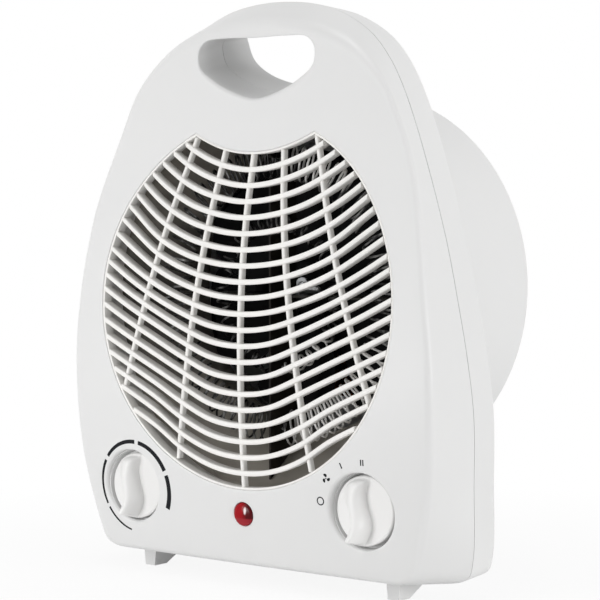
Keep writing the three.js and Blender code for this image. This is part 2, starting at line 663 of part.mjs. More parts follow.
function rearHousing() {
  const seam = atDepth(bodyEdge, SEAM_DEPTH + GAP / 2);
  const limb = atDepth(inset(bodyEdge, REAR_DRAFT), PLATE_DEPTH - REAR_ROUND);
  const shoulder = atDepth(inset(bodyEdge, REAR_DRAFT + REAR_ROUND * 0.3), PLATE_DEPTH - REAR_ROUND * 0.3);
  const plate = atDepth(inset(bodyEdge, REAR_DRAFT + REAR_ROUND), PLATE_DEPTH);
  const drum = turned([
    [0, PLATE_DEPTH - WALL], [DRUM_RADIUS + DRUM_ROOT_WIDTH, PLATE_DEPTH - WALL],
    [DRUM_RADIUS + DRUM_ROOT_WIDTH, PLATE_DEPTH], [DRUM_RADIUS, PLATE_DEPTH + DRUM_ROOT_LENGTH],
    [DRUM_RADIUS, DRUM_BACK_DEPTH - DRUM_ROUND],
    [DRUM_RADIUS - DRUM_ROUND * 0.3, DRUM_BACK_DEPTH - DRUM_ROUND * 0.3],
    [DRUM_RADIUS - DRUM_ROUND, DRUM_BACK_DEPTH], [0, DRUM_BACK_DEPTH],
  ]);
  const outside = join([
    loft([seam, limb, shoulder, plate]),
    moved(drum, 0, 0, DRUM_HEIGHT),
    pedestal(0, PLATE_DEPTH - REAR_ROUND - WALL, PEDESTAL_BACK_DEPTH, 0, PEDESTAL_HEIGHT),
  ]);
  const inside = join([
    loft([
      atDepth(inset(bodyEdge, WALL), SEAM_DEPTH - OVERRUN),
      atDepth(inset(bodyEdge, REAR_DRAFT + WALL), PLATE_DEPTH - WALL),
    ]),
    moved(pin(DRUM_RADIUS - WALL, SEAM_DEPTH, LEDGE_DEPTH, ROUND_STEPS), 0, 0, DRUM_HEIGHT),
    pedestal(-WALL, SEAM_DEPTH, PEDESTAL_BACK_DEPTH - WALL, WALL, PEDESTAL_HEIGHT - WALL),
  ]);
  const sleeve = handleHole(SEAM_DEPTH - OVERRUN, PLATE_DEPTH - WALL / 2, WALL);
  const posts = screwPlaces.map(([x, z]) =>
    moved(pin(POST_RADIUS, SEAM_DEPTH - OVERRUN, PLATE_DEPTH, SCREW_STEPS), x, 0, z),
  );
  const front = block(
    -BODY_HALF_WIDTH, BODY_HALF_WIDTH, SEAM_DEPTH - 2 * OVERRUN, SEAM_DEPTH + GAP / 2, 0, BODY_HEIGHT,
  );
  return cut(outside, [
    cut(inside, [sleeve, ...posts]),
    front,
    handleHole(SEAM_DEPTH - OVERRUN, PLATE_DEPTH + OVERRUN, 0),
    moved(pin(LEDGE_RADIUS, SEAM_DEPTH, DRUM_BACK_DEPTH + OVERRUN, ROUND_STEPS), 0, 0, DRUM_HEIGHT),
    moved(
      pin(INTAKE_RADIUS, DRUM_BACK_DEPTH - REAR_GRILLE_THICKNESS - GAP, DRUM_BACK_DEPTH + OVERRUN, ROUND_STEPS),
      0, 0, DRUM_HEIGHT,
    ),
    moved(pin(GLAND_RADIUS + GAP, PLATE_DEPTH, PEDESTAL_BACK_DEPTH + OVERRUN, SMALL_ROUND_STEPS),
      GLAND_OFFSET, 0, GLAND_HEIGHT),
    moved(
      pin(GLAND_RADIUS + GLAND_FLANGE_WIDTH + GAP, PEDESTAL_BACK_DEPTH, DRUM_BACK_DEPTH + OVERRUN, SMALL_ROUND_STEPS),
      GLAND_OFFSET, 0, GLAND_HEIGHT,
    ),
    ...screwPlaces.map(([x, z]) => moved(pin(SCREW_RADIUS + GAP, 0, PLATE_DEPTH), x, 0, z)),
    ...screwPlaces.map(([x, z]) =>
      moved(pin(SCREW_HEAD_RADIUS + GAP, screwHeadDepth - SCREW_HEAD_THICKNESS - GAP, PLATE_DEPTH + OVERRUN), x, 0, z),
    ),
    ...mountScrewPlaces.map(([x, z]) =>
      moved(pin(MOTOR_SCREW_RADIUS + GAP, 0, mountScrewTip + GAP), x, 0, z),
    ),
  ]);
}

const mountBackDepth = LEDGE_DEPTH - GAP;
const mountFrontDepth = mountBackDepth - MOUNT_SHEET;
const mountScrewTip = mountFrontDepth - GAP + MOUNT_SCREW_LENGTH;
const mountScrewPlaces = [-1, 1].flatMap((side) =>
  [-1, 1].map((level) => [side * MOUNT_SCREW_OFFSET, DRUM_HEIGHT + level * MOUNT_SCREW_RISE]),
);

function rearGrille() {
  const front = DRUM_BACK_DEPTH - REAR_GRILLE_THICKNESS;
  const slots = Array.from({ length: INTAKE_SLOT_COUNT }, (_, i) => {
    const z = (i - (INTAKE_SLOT_COUNT - 1) / 2) * INTAKE_SLOT_PITCH;
    const half = INTAKE_SLOT_HEIGHT / 2;
    const reach = Math.sqrt(INTAKE_SLOT_REACH ** 2 - (Math.abs(z) + half) ** 2);
    const slot = (x0, x1) => block(x0, x1, front - OVERRUN, DRUM_BACK_DEPTH + OVERRUN, z - half, z + half);
    return slot(-reach, -INTAKE_RIB_WIDTH / 2).add(slot(INTAKE_RIB_WIDTH / 2, reach));
  });
  return cut(pin(INTAKE_RADIUS - GAP, front, DRUM_BACK_DEPTH, ROUND_STEPS), slots);
}

// A wedge foot: flat sole at its upright end, rising towards the other end
function foot(front, direction) {
  const ring = (half, from, to, z) =>
    [[-half, from], [half, from], [half, to], [-half, to]].map(
      ([x, y]) => new THREE.Vector3(x, front + direction * y, z),
    );
  const top = -GAP;
  return loft([
    ring(FOOT_WIDTH / 2, 0, FOOT_SOLE_LENGTH, -FOOT_HEIGHT),
    ring((FOOT_WIDTH + FOOT_FLARE) / 2, 0, FOOT_LENGTH, top),
  ]);
}

// A disc with an S-shaped grip, both turning on the spindle
function knob() {
  const back = RECESS_FLOOR_DEPTH - GAP;
  const disc = turned([
    [0, KNOB_FACE_DEPTH + KNOB_DISH], [KNOB_RADIUS - KNOB_DISH, KNOB_FACE_DEPTH],
    [KNOB_RADIUS, KNOB_FACE_DEPTH + KNOB_DISH], [KNOB_RADIUS, back], [0, back],
  ], RECESS_STEPS);
  const rings = Array.from({ length: RIDGE_STEPS + 1 }, (_, i) => {
    const t = i / RIDGE_STEPS;
    const z = THREE.MathUtils.lerp(-RIDGE_BOTTOM_REACH, RIDGE_TOP_REACH, t);
    const x = -RIDGE_SWAY * Math.sin(2 * Math.PI * (t - 0.5));
    const end = Math.sqrt(Math.max(1 - Math.abs(2 * t - 1) ** 4, RIDGE_END_SHARE));
    const half = (RIDGE_WIDTH / 2) * end;
    const share = THREE.MathUtils.lerp(RIDGE_BOTTOM_SHARE, RIDGE_TOP_SHARE, t);
    const height = (KNOB_FACE_DEPTH - RIDGE_TIP_DEPTH) * end * share;
    const shoulder = half * RIDGE_SHOULDER_SHARE;
    const tip = KNOB_FACE_DEPTH - height;
    const root = KNOB_FACE_DEPTH + 2 * KNOB_DISH;
    return [
      new THREE.Vector3(x - half, root, z), new THREE.Vector3(x + half, root, z),
      new THREE.Vector3(x + shoulder, tip + height * RIDGE_SHOULDER_DROP, z), new THREE.Vector3(x, tip, z),
      new THREE.Vector3(x - shoulder, tip + height * RIDGE_SHOULDER_DROP, z),
    ];
  });
  return cut(disc.add(loft(rings)), [
    pin(KNOB_SKIRT_RADIUS, back - KNOB_SKIRT_DEPTH, back + OVERRUN, SMALL_ROUND_STEPS),
    pin(SPINDLE_RADIUS + GAP, back - KNOB_BORE_DEPTH, back + OVERRUN, SMALL_ROUND_STEPS),
  ]);
}

const controlFront = RECESS_FLOOR_DEPTH + WALL + GAP;
const nutBack = RECESS_FLOOR_DEPTH - GAP;

// A control with its threaded bush; its block differs between thermostat and switch
function control(width, height, depth, tabRows) {
  const half = CONTROL_SIDE / 2;
  const blockFront = controlFront + CONTROL_PLATE_THICKNESS;
  const tabs = [-TAB_SPACING / 2, TAB_SPACING / 2].flatMap((x) =>
    tabRows.map((z) =>
      block(
        x - TAB_WIDTH / 2, x + TAB_WIDTH / 2, blockFront + depth / 2, blockFront + depth + TAB_LENGTH,
        z - TAB_THICKNESS / 2, z + TAB_THICKNESS / 2,
      ),
    ),
  );
  const body = join([
    block(-half, half, controlFront, blockFront + OVERRUN / 2, -half, half),
    block(-width / 2, width / 2, controlFront, blockFront + depth, -height / 2, height / 2),
    pin(BUSH_RADIUS, controlFront - BUSH_LENGTH, blockFront, SMALL_ROUND_STEPS),
    ...tabs,
  ]);
  return cut(body, [
    pin(SPINDLE_RADIUS + GAP, controlFront - BUSH_LENGTH - OVERRUN, blockFront + depth / 2, SMALL_ROUND_STEPS),
  ]);
}
function controlNut() {
  return tube(BUSH_RADIUS + GAP, NUT_RADIUS, nutBack - NUT_THICKNESS, nutBack, NUT_SIDES * 4).intersect(
    turned([[0, 0], [NUT_RADIUS, 0], [NUT_RADIUS, nutBack], [0, nutBack]], NUT_SIDES),
  );
}
function spindle(depth) {
  const back = controlFront + CONTROL_PLATE_THICKNESS + depth / 2 - GAP;
  return pin(SPINDLE_RADIUS, nutBack - KNOB_BORE_DEPTH + GAP, back, SMALL_ROUND_STEPS);
}

function lampLens() {
  const flange = panelDepth(0, LAMP_HEIGHT + LAMP_RADIUS + LAMP_FLANGE_WIDTH) + WALL;
  const seat = Math.max(flange, panelDepth(0, LAMP_HEIGHT - LAMP_RADIUS - LAMP_FLANGE_WIDTH) + WALL) + GAP;
  const radius = LAMP_RADIUS - GAP;
  return turned(
    [
      [0, LAMP_FACE_DEPTH], [radius * 0.6, LAMP_FACE_DEPTH + radius * 0.12], [radius, LAMP_FACE_DEPTH + radius * 0.5],
      [radius, seat], [radius + LAMP_FLANGE_WIDTH, seat],
      [radius + LAMP_FLANGE_WIDTH, seat + LAMP_FLANGE_THICKNESS], [0, seat + LAMP_FLANGE_THICKNESS],
    ],
    SMALL_ROUND_STEPS,
  );
}
function lampHolder() {
  const seat = panelDepth(0, LAMP_HEIGHT - LAMP_RADIUS - LAMP_FLANGE_WIDTH) + WALL + GAP + LAMP_FLANGE_THICKNESS;
  return tube(LAMP_RADIUS - WALL, LAMP_RADIUS, seat + GAP, seat + LAMP_HOLDER_LENGTH);
}

// Radius and middle of the funnel at a depth: it shrinks from the outlet's circle to the fan's
const funnelFront = RING_BACK_DEPTH + GAP;
function funnel(depth) {
  const t = THREE.MathUtils.clamp((depth - funnelFront) / (SHIELD_NECK_DEPTH - funnelFront), 0, 1);
  return {
    radius: THREE.MathUtils.lerp(SHIELD_FRONT_RADIUS, SHIELD_REAR_RADIUS, t),
    height: THREE.MathUtils.lerp(OUTLET_HEIGHT, DRUM_HEIGHT, t),
  };
}
function funnelRing(depth, grown) {
  const { radius, height } = funnel(depth);
  return Array.from({ length: SHIELD_STEPS }, (_, i) => {
    const angle = (2 * Math.PI * i) / SHIELD_STEPS;
    const reach = radius + grown;
    return new THREE.Vector3(reach * Math.cos(angle), depth, height + reach * Math.sin(angle));
  });
}
function heatShield() {
  const lipBack = funnelFront + SHIELD_SHEET;
  const lip = [funnelRing(funnelFront, SHIELD_LIP_WIDTH), funnelRing(lipBack, SHIELD_LIP_WIDTH)];
  const outer = [funnelFront, SHIELD_NECK_DEPTH, SHIELD_BACK_DEPTH].map((y) => funnelRing(y, 0));
  const inner = [funnelFront, SHIELD_NECK_DEPTH, SHIELD_BACK_DEPTH].map((y) => funnelRing(y, -SHIELD_SHEET));
  const before = funnelRing(funnelFront, -SHIELD_SHEET).map((point) => point.setY(funnelFront - OVERRUN));
  const after = funnelRing(SHIELD_BACK_DEPTH, -SHIELD_SHEET).map((point) => point.setY(SHIELD_BACK_DEPTH + OVERRUN));
  const room = [funnelFront - OVERRUN, SHIELD_BACK_DEPTH + OVERRUN].map((depth) =>
    atDepth(inset(bodyEdge, WALL + FACE_SIDE_FLARE), depth),
  );
  return cut(loft(outer).add(loft(lip)), [loft([before, ...inner, after])]).intersect(loft(room));
}

// Two mica boards, halved into each other, with notches that the coils pass through
const boardMiddle = (BOARD_FRONT_DEPTH + BOARD_BACK_DEPTH) / 2;
const boardHeight = funnel(boardMiddle).height;
function board(upright) {
  const ends = [BOARD_FRONT_DEPTH, BOARD_BACK_DEPTH].map((depth) => {
    const { radius, height } = funnel(depth);
    const reach = radius - SHIELD_SHEET - BOARD_CLEARANCE;
    const shift = upright ? height - boardHeight : 0;
    return { depth, low: shift - reach, high: shift + reach };
  });
  const shape = new THREE.Shape([
    new THREE.Vector2(ends[0].low, ends[0].depth), new THREE.Vector2(ends[0].high, ends[0].depth),
    new THREE.Vector2(ends[1].high, ends[1].depth), new THREE.Vector2(ends[1].low, ends[1].depth),
  ]);
  const sheet = solid(
    new THREE.ExtrudeGeometry(shape, { depth: BOARD_THICKNESS, bevelEnabled: false })
      .translate(0, 0, -BOARD_THICKNESS / 2),
  );
  const half = BOARD_THICKNESS / 2 + GAP;
  const lap = upright
    ? block(-half, half, 0, boardMiddle + GAP / 2, -OVERRUN, OVERRUN)
    : block(-half, half, boardMiddle - GAP / 2, PLATE_DEPTH, -OVERRUN, OVERRUN);
  const notches = [OUTER_COIL_RADIUS, INNER_COIL_RADIUS].flatMap((radius) =>
    (upright ? [1] : [-1, 1]).map((side) =>
      block(
        side * radius - NOTCH_WIDTH / 2, side * radius + NOTCH_WIDTH / 2,
        0, BOARD_FRONT_DEPTH + NOTCH_DEPTH, -OVERRUN, OVERRUN,
      ),
    ),
  );
  const made = cut(sheet, [lap, ...notches]);
  return moved(upright ? made.rotate([0, -90, 0]) : made, 0, 0, boardHeight);
}

// A resistance wire curled about a ring, both ends running square to the upright board
function coilPath(radius, curls) {
  const clear = BOARD_THICKNESS / 2 + GAP;
  const start = clear + 2 * WIRE_RADIUS;
  const edge = Math.asin((start + WIRE_RADIUS) / radius);
  const count = curls * CURL_STEPS;
  const points = [];
  for (let i = 0; i <= count; i++) {
    const angle = -Math.PI / 2 + edge + ((2 * Math.PI - 2 * edge) * i) / count;
    const turn = (2 * Math.PI * i) / CURL_STEPS;
    const swell = COIL_RADIUS * Math.min(1, i / CURL_STEPS, (count - i) / CURL_STEPS);
    const reach = radius + swell * Math.cos(turn);
    points.push(
      new THREE.Vector3(
        reach * Math.cos(angle), COIL_DEPTH + swell * Math.sin(turn), boardHeight + reach * Math.sin(angle),
      ),
    );
  }
  const stub = (x) => new THREE.Vector3(x, COIL_DEPTH, boardHeight - radius);
  return [stub(clear), stub(start), ...points, stub(-start), stub(-clear)];
}
function wire(points) {
  const tangent = (i) =>
    points[Math.min(i + 1, points.length - 1)].clone().sub(points[Math.max(i - 1, 0)]).normalize();
  let side = new THREE.Vector3(0, 1, 0);
  const rings = points.map((point, i) => {
    const along = tangent(i);
    side = side.clone().addScaledVector(along, -side.dot(along)).normalize();
    const across = along.clone().cross(side);
    return Array.from({ length: WIRE_SIDES }, (_, k) => {
      const angle = (2 * Math.PI * k) / WIRE_SIDES;
      return point.clone()
        .addScaledVector(side, WIRE_RADIUS * Math.cos(angle))
        .addScaledVector(across, WIRE_RADIUS * Math.sin(angle));
    });
  });
  return loft(rings);
}
function leastGap(points) {
  let least = Infinity;
  for (let i = 0; i < points.length; i++) {
    for (let j = i + CURL_STEPS - 1; j < points.length; j++) {
      least = Math.min(least, points[i].distanceTo(points[j]));
    }
  }
  return least - 2 * WIRE_RADIUS;
}
const outerPath = coilPath(OUTER_COIL_RADIUS, OUTER_COIL_CURLS);
const innerPath = coilPath(INNER_COIL_RADIUS, INNER_COIL_CURLS);
console.log("least gap in the outer coil " + leastGap(outerPath).toFixed(2) + " mm");
console.log("least gap in the inner coil " + leastGap(innerPath).toFixed(2) + " mm");

function cutout() {
  const seat = boardHeight + BOARD_THICKNESS / 2 + GAP;
  const disc = new THREE.CylinderGeometry(CUTOUT_RADIUS, CUTOUT_RADIUS, CUTOUT_HEIGHT, SMALL_ROUND_STEPS)
    .rotateX(Math.PI / 2);
  return moved(solid(disc), -FUSE_OFFSET, boardMiddle, seat + CUTOUT_HEIGHT / 2);
}
function fuse() {
  const seat = boardHeight + BOARD_THICKNESS / 2 + GAP;
  const barrel = new THREE.CapsuleGeometry(FUSE_RADIUS, FUSE_LENGTH - 2 * FUSE_RADIUS, 2, SCREW_STEPS)
    .rotateZ(Math.PI / 2);
  return moved(solid(barrel), FUSE_OFFSET, boardMiddle, seat + FUSE_RADIUS);
}

// Axial impeller with twisted, swept blades
function impeller() {
  const hubBack = HUB_FRONT_DEPTH + HUB_LENGTH;
  const hub = turned(
    [
      [0, HUB_FRONT_DEPTH], [HUB_RADIUS - HUB_ROUND, HUB_FRONT_DEPTH], [HUB_RADIUS, HUB_FRONT_DEPTH + HUB_ROUND],
      [HUB_RADIUS, hubBack], [0, hubBack],
    ],
    SMALL_ROUND_STEPS,
  );
  const middle = HUB_FRONT_DEPTH + HUB_LENGTH / 2;
  const stationShares = [0, 0.33, 0.67, 1];
  const blades = Array.from({ length: BLADE_COUNT }, (_, n) => {
    const rings = stationShares.map((t) => {
      const radius = THREE.MathUtils.lerp(HUB_RADIUS - HUB_ROUND, BLADE_TIP_RADIUS, t);
      const chord = THREE.MathUtils.lerp(BLADE_ROOT_CHORD, BLADE_TIP_CHORD, t);
      const pitch = Math.asin((HUB_LENGTH - 2 * BLADE_THICKNESS) / chord);
      const lag = (BLADE_SWEEP * t) / radius;
      return [[-1, -1], [1, -1], [1, 1], [-1, 1]].map(([u, v]) => {
        const across = (u * chord * Math.cos(pitch)) / 2 - (v * BLADE_THICKNESS * Math.sin(pitch)) / 2;
        const depth = (u * chord * Math.sin(pitch)) / 2 + (v * BLADE_THICKNESS * Math.cos(pitch)) / 2;
        const angle = across / radius + lag + (2 * Math.PI * n) / BLADE_COUNT;
        return new THREE.Vector3(radius * Math.sin(angle), middle + depth, radius * Math.cos(angle));
      });
    });
    return loft(rings);
  });
  return cut(join([hub, ...blades]), [
    pin(SHAFT_RADIUS + GAP, HUB_FRONT_DEPTH - OVERRUN, hubBack + OVERRUN, SCREW_STEPS),
  ]);
}

const stackBack = STACK_FRONT_DEPTH + STACK_LENGTH;
function statorStack() {
  const inner = STACK_HALF_WIDTH - LIMB_WIDTH;
  const shape = shapeOf([
    [-STACK_HALF_WIDTH, -STACK_DROP], [-inner, -STACK_DROP], [-inner, -YOKE_DROP], [inner, -YOKE_DROP],
    [inner, -STACK_DROP], [STACK_HALF_WIDTH, -STACK_DROP], [STACK_HALF_WIDTH, STACK_TOP_RISE],
    [-STACK_HALF_WIDTH, STACK_TOP_RISE],
  ]);
  return cut(pushed(shape, STACK_FRONT_DEPTH, stackBack), [
    pin(ROTOR_RADIUS + ROTOR_AIR_GAP, STACK_FRONT_DEPTH - OVERRUN, stackBack + OVERRUN, SMALL_ROUND_STEPS),
    ...[-MOTOR_SCREW_OFFSET, MOTOR_SCREW_OFFSET].map((x) =>
      moved(pin(MOTOR_SCREW_RADIUS + GAP, STACK_FRONT_DEPTH - OVERRUN, stackBack + OVERRUN), x, 0, 0),
    ),
  ]);
}
const legTop = LEG_HEIGHT - STACK_DROP;
function statorLeg() {
  const reach = STACK_HALF_WIDTH - LIMB_WIDTH - GAP;
  return block(-reach, reach, STACK_FRONT_DEPTH, stackBack, -STACK_DROP, legTop);
}
function aroundLeg(reach, grown) {
  return block(
    -reach, reach, STACK_FRONT_DEPTH - grown, stackBack + grown, -STACK_DROP - grown, legTop + grown,
  );
}
function bobbin() {
  const sleeve = aroundLeg(BOBBIN_HALF_LENGTH, GAP + BOBBIN_WALL);
  const flanges = [-1, 1].map((side) =>
    aroundLeg(BOBBIN_WALL / 2, GAP + FLANGE_RISE + BOBBIN_WALL).translate([
      side * (BOBBIN_HALF_LENGTH - BOBBIN_WALL / 2), 0, 0,
    ]),
  );
  return cut(join([sleeve, ...flanges]), [aroundLeg(BOBBIN_HALF_LENGTH + OVERRUN, GAP)]);
}
function winding() {
  const reach = BOBBIN_HALF_LENGTH - BOBBIN_WALL - GAP;
  return cut(aroundLeg(reach, 2 * GAP + BOBBIN_WALL + WINDING_RISE), [
    aroundLeg(reach + OVERRUN, 2 * GAP + BOBBIN_WALL),
  ]);
}

// A pressed bracket that stands off the stack and holds a bearing; it faces the front or the rear
function bracket(seat, direction) {
  const half = STACK_HALF_WIDTH;
  const y = (distance) => seat + direction * distance;
  const outlinePoints = [
    [-half, 0], [-half + BRACKET_LEG_WIDTH, 0], [-half + BRACKET_LEG_WIDTH, BRACKET_STAND_OFF],
    [half - BRACKET_LEG_WIDTH, BRACKET_STAND_OFF], [half - BRACKET_LEG_WIDTH, 0], [half, 0],
    [half, BRACKET_STAND_OFF + BRACKET_SHEET], [-half, BRACKET_STAND_OFF + BRACKET_SHEET],
  ];
  const shape = new THREE.Shape(outlinePoints.map(([x, d]) => new THREE.Vector2(x, y(d))));
  const strip = solid(
    new THREE.ExtrudeGeometry(shape, { depth: BRACKET_HEIGHT, bevelEnabled: false })
      .translate(0, 0, -BRACKET_HEIGHT / 2),
  );
  return cut(strip, [
    pin(BEARING_RADIUS + GAP, 0, DRUM_BACK_DEPTH, SMALL_ROUND_STEPS),
    ...[-MOTOR_SCREW_OFFSET, MOTOR_SCREW_OFFSET].map((x) =>
      moved(pin(MOTOR_SCREW_RADIUS + GAP, 0, DRUM_BACK_DEPTH), x, 0, 0),
    ),
  ]);
}
const frontBracketSeat = STACK_FRONT_DEPTH - GAP;
const rearBracketSeat = stackBack + GAP;
const bracketReach = BRACKET_STAND_OFF + BRACKET_SHEET / 2;
function bearing(middle) {
  return tube(SHAFT_RADIUS + GAP, BEARING_RADIUS, middle - BEARING_LENGTH / 2, middle + BEARING_LENGTH / 2);
}

function motorMount() {
  const shape = new THREE.Shape();
  shape.moveTo(-MOUNT_HALF_LENGTH, -MOUNT_HALF_HEIGHT);
  shape.lineTo(MOUNT_HALF_LENGTH, -MOUNT_HALF_HEIGHT);
  shape.lineTo(MOUNT_HALF_LENGTH, MOUNT_HALF_HEIGHT);
  shape.lineTo(-MOUNT_HALF_LENGTH, MOUNT_HALF_HEIGHT);
  const screwHoles = [-1, 1].flatMap((side) => [
    moved(pin(MOTOR_SCREW_RADIUS + GAP, 0, DRUM_BACK_DEPTH), side * MOTOR_SCREW_OFFSET, 0, 0),
    ...[-1, 1].map((level) =>
      moved(pin(MOTOR_SCREW_RADIUS + GAP, 0, DRUM_BACK_DEPTH), side * MOUNT_SCREW_OFFSET, 0, level * MOUNT_SCREW_RISE),
    ),
  ]);
  return cut(pushed(shape, mountFrontDepth, mountBackDepth), [
    pin(MOUNT_BORE_RADIUS, 0, DRUM_BACK_DEPTH, SMALL_ROUND_STEPS),
    ...screwHoles,
  ]);
}

// A pan-head screw whose head is to the front or to the rear of its shank
function screw(headSeat, tip, radius, headRadius, headThickness) {
  const away = Math.sign(headSeat - tip);
  return turned(
    [
      [0, tip], [radius, tip], [radius, headSeat], [headRadius, headSeat],
      [headRadius, headSeat + away * headThickness * 0.6], [headRadius * 0.6, headSeat + away * headThickness],
      [0, headSeat + away * headThickness],
    ],
    SCREW_STEPS,
  );
}

function gland() {
  const inside = PEDESTAL_BACK_DEPTH - WALL - OVERRUN;
  const seat = PEDESTAL_BACK_DEPTH + GAP;
  return turned(
    [
      [GLAND_BORE_RADIUS, inside], [GLAND_RADIUS, inside], [GLAND_RADIUS, seat],
      [GLAND_RADIUS + GLAND_FLANGE_WIDTH, seat], [GLAND_RADIUS + GLAND_FLANGE_WIDTH / 2, seat + GLAND_FLANGE_THICKNESS],
      [GLAND_BORE_RADIUS, seat + GLAND_FLANGE_THICKNESS],
    ],
    SMALL_ROUND_STEPS,
  );
}

function terminalBlock() {
  const back = PEDESTAL_BACK_DEPTH - WALL - TERMINAL_BACK_SPACE;
  const bottom = WALL + GAP;
  const ways = Array.from({ length: TERMINAL_WAYS }, (_, i) => i - (TERMINAL_WAYS - 1) / 2);
  const pitch = TERMINAL_WIDTH / TERMINAL_WAYS;
  return cut(
    block(-TERMINAL_WIDTH / 2, TERMINAL_WIDTH / 2, back - TERMINAL_DEPTH, back, bottom, bottom + TERMINAL_HEIGHT),
    ways.map((way) =>
      moved(pin(TERMINAL_BORE_RADIUS, 0, PEDESTAL_BACK_DEPTH), way * pitch, 0, bottom + TERMINAL_HEIGHT / 2),
    ),
  );
}

// The assembly
const heater = new THREE.Group();
function add(name, body, finish, x = 0, height = 0) {
  const mesh = new THREE.Mesh(geometryOf(body), materials[finish]);
  mesh.name = name;
  mesh.position.set(x, 0, height);
  heater.add(mesh);
}

add("front_housing", frontHousing(), "shell");
add("front_grille", frontGrille(), "grille");
add("rear_housing", rearHousing(), "shell");
add("rear_grille", rearGrille(), "shell", 0, DRUM_HEIGHT);
for (const [side, sign] of [["left", -1], ["right", 1]]) {
  add("front_foot_" + side, foot(FOOT_FRONT_DEPTH, 1), "shell", sign * (BODY_HALF_WIDTH - FOOT_SIDE_SET));
  add("rear_foot_" + side, foot(REAR_FOOT_FRONT_DEPTH + FOOT_LENGTH, -1), "shell",
    sign * (PEDESTAL_HALF_WIDTH - REAR_FOOT_SIDE_SET));
}

add("thermostat_knob", knob(), "knob", -KNOB_OFFSET, KNOB_HEIGHT);
add("switch_knob", knob(), "knob", KNOB_OFFSET, KNOB_HEIGHT);
add("thermostat_nut", controlNut(), "steel", -KNOB_OFFSET, KNOB_HEIGHT);
add("switch_nut", controlNut(), "steel", KNOB_OFFSET, KNOB_HEIGHT);
add(
  "thermostat_body",
  control(THERMOSTAT_BLOCK_WIDTH, THERMOSTAT_BLOCK_HEIGHT, THERMOSTAT_BLOCK_DEPTH, [0]),
  "plastic", -KNOB_OFFSET, KNOB_HEIGHT,
);
add(
  "switch_body",
  control(CONTROL_SIDE, CONTROL_SIDE, SWITCH_BLOCK_DEPTH, [-TAB_SPACING / 2, TAB_SPACING / 2]),
  "dark", KNOB_OFFSET, KNOB_HEIGHT,
);
add("thermostat_spindle", spindle(THERMOSTAT_BLOCK_DEPTH), "brass", -KNOB_OFFSET, KNOB_HEIGHT);
add("switch_spindle", spindle(SWITCH_BLOCK_DEPTH), "plastic", KNOB_OFFSET, KNOB_HEIGHT);

add("pilot_lamp_lens", lampLens(), "lamp", 0, LAMP_HEIGHT);
add("pilot_lamp_holder", lampHolder(), "plastic", 0, LAMP_HEIGHT);

add("heat_shield", heatShield(), "sheet");
add("element_board_level", board(false), "mica");
add("element_board_upright", board(true), "mica");
add("heating_coil_outer", wire(outerPath), "wire");
add("heating_coil_inner", wire(innerPath), "wire");
add("thermal_cutout", cutout(), "dark");
add("thermal_fuse", fuse(), "steel");

add("fan_impeller", impeller(), "dark", 0, DRUM_HEIGHT);
add("fan_clip", tube(SHAFT_RADIUS + GAP, CLIP_RADIUS, HUB_FRONT_DEPTH - GAP - CLIP_THICKNESS, HUB_FRONT_DEPTH - GAP),
  "steel", 0, DRUM_HEIGHT);
add("motor_shaft", pin(SHAFT_RADIUS, SHAFT_FRONT_DEPTH, SHAFT_BACK_DEPTH), "steel", 0, DRUM_HEIGHT);
add("motor_rotor", tube(SHAFT_RADIUS + GAP, ROTOR_RADIUS, STACK_FRONT_DEPTH, stackBack), "core", 0, DRUM_HEIGHT);
add("stator_core", statorStack(), "core", 0, DRUM_HEIGHT);
add("stator_leg", statorLeg(), "core", 0, DRUM_HEIGHT);
add("coil_bobbin", bobbin(), "plastic", 0, DRUM_HEIGHT);
add("coil_winding", winding(), "copper", 0, DRUM_HEIGHT);
add("front_bracket", bracket(frontBracketSeat, -1), "steel", 0, DRUM_HEIGHT);
add("rear_bracket", bracket(rearBracketSeat, 1), "steel", 0, DRUM_HEIGHT);
add("front_bearing", bearing(frontBracketSeat - bracketReach), "brass", 0, DRUM_HEIGHT);
add("rear_bearing", bearing(rearBracketSeat + bracketReach), "brass", 0, DRUM_HEIGHT);
const motorScrewSeat = frontBracketSeat - BRACKET_STAND_OFF - BRACKET_SHEET - GAP;
for (const [i, x] of [-MOTOR_SCREW_OFFSET, MOTOR_SCREW_OFFSET].entries()) {
  const body = screw(
    motorScrewSeat, mountBackDepth, MOTOR_SCREW_RADIUS, MOTOR_SCREW_HEAD_RADIUS, MOTOR_SCREW_HEAD_THICKNESS,
  );
  add("motor_screw_" + (i + 1), body, "steel", x, DRUM_HEIGHT);
}
add("motor_mount", motorMount(), "steel", 0, DRUM_HEIGHT);
for (const [i, [x, z]] of mountScrewPlaces.entries()) {
  const body = screw(
    mountFrontDepth - GAP, mountScrewTip, MOTOR_SCREW_RADIUS, MOTOR_SCREW_HEAD_RADIUS, MOTOR_SCREW_HEAD_THICKNESS,
  );
  add("mount_screw_" + (i + 1), body, "steel", x, z);
}
for (const [i, [x, z]] of screwPlaces.entries()) {
  const body = screw(
    screwHeadDepth - SCREW_HEAD_THICKNESS, screwTipDepth, SCREW_RADIUS, SCREW_HEAD_RADIUS, SCREW_HEAD_THICKNESS,
  );
  add("housing_screw_" + (i + 1), body, "steel", x, z);
}
add("terminal_block", terminalBlock(), "plastic");
add("cord_gland", gland(), "dark", GLAND_OFFSET, GLAND_HEIGHT);

// The origin goes to the middle of the footprint, on the floor
heater.updateMatrixWorld(true);
const box = new THREE.Box3().setFromObject(heater);
const part = new THREE.Group();
part.add(heater);
heater.position.set(-(box.min.x + box.max.x) / 2, -(box.min.y + box.max.y) / 2, -box.min.z);

export default part;
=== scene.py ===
# %% [markdown]
# # Fan convector heater
# A small room heater stands on a pale table. A domed front shell carries a round outlet with slats like a stack of
# smiles, a carrying handle is cut through its top, and two knobs sit at its feet. The solids come from the CAD frame;
# here each of them gets a finish, and the pieces that the eye rests on get a finer form over the same measures.

import json
import math

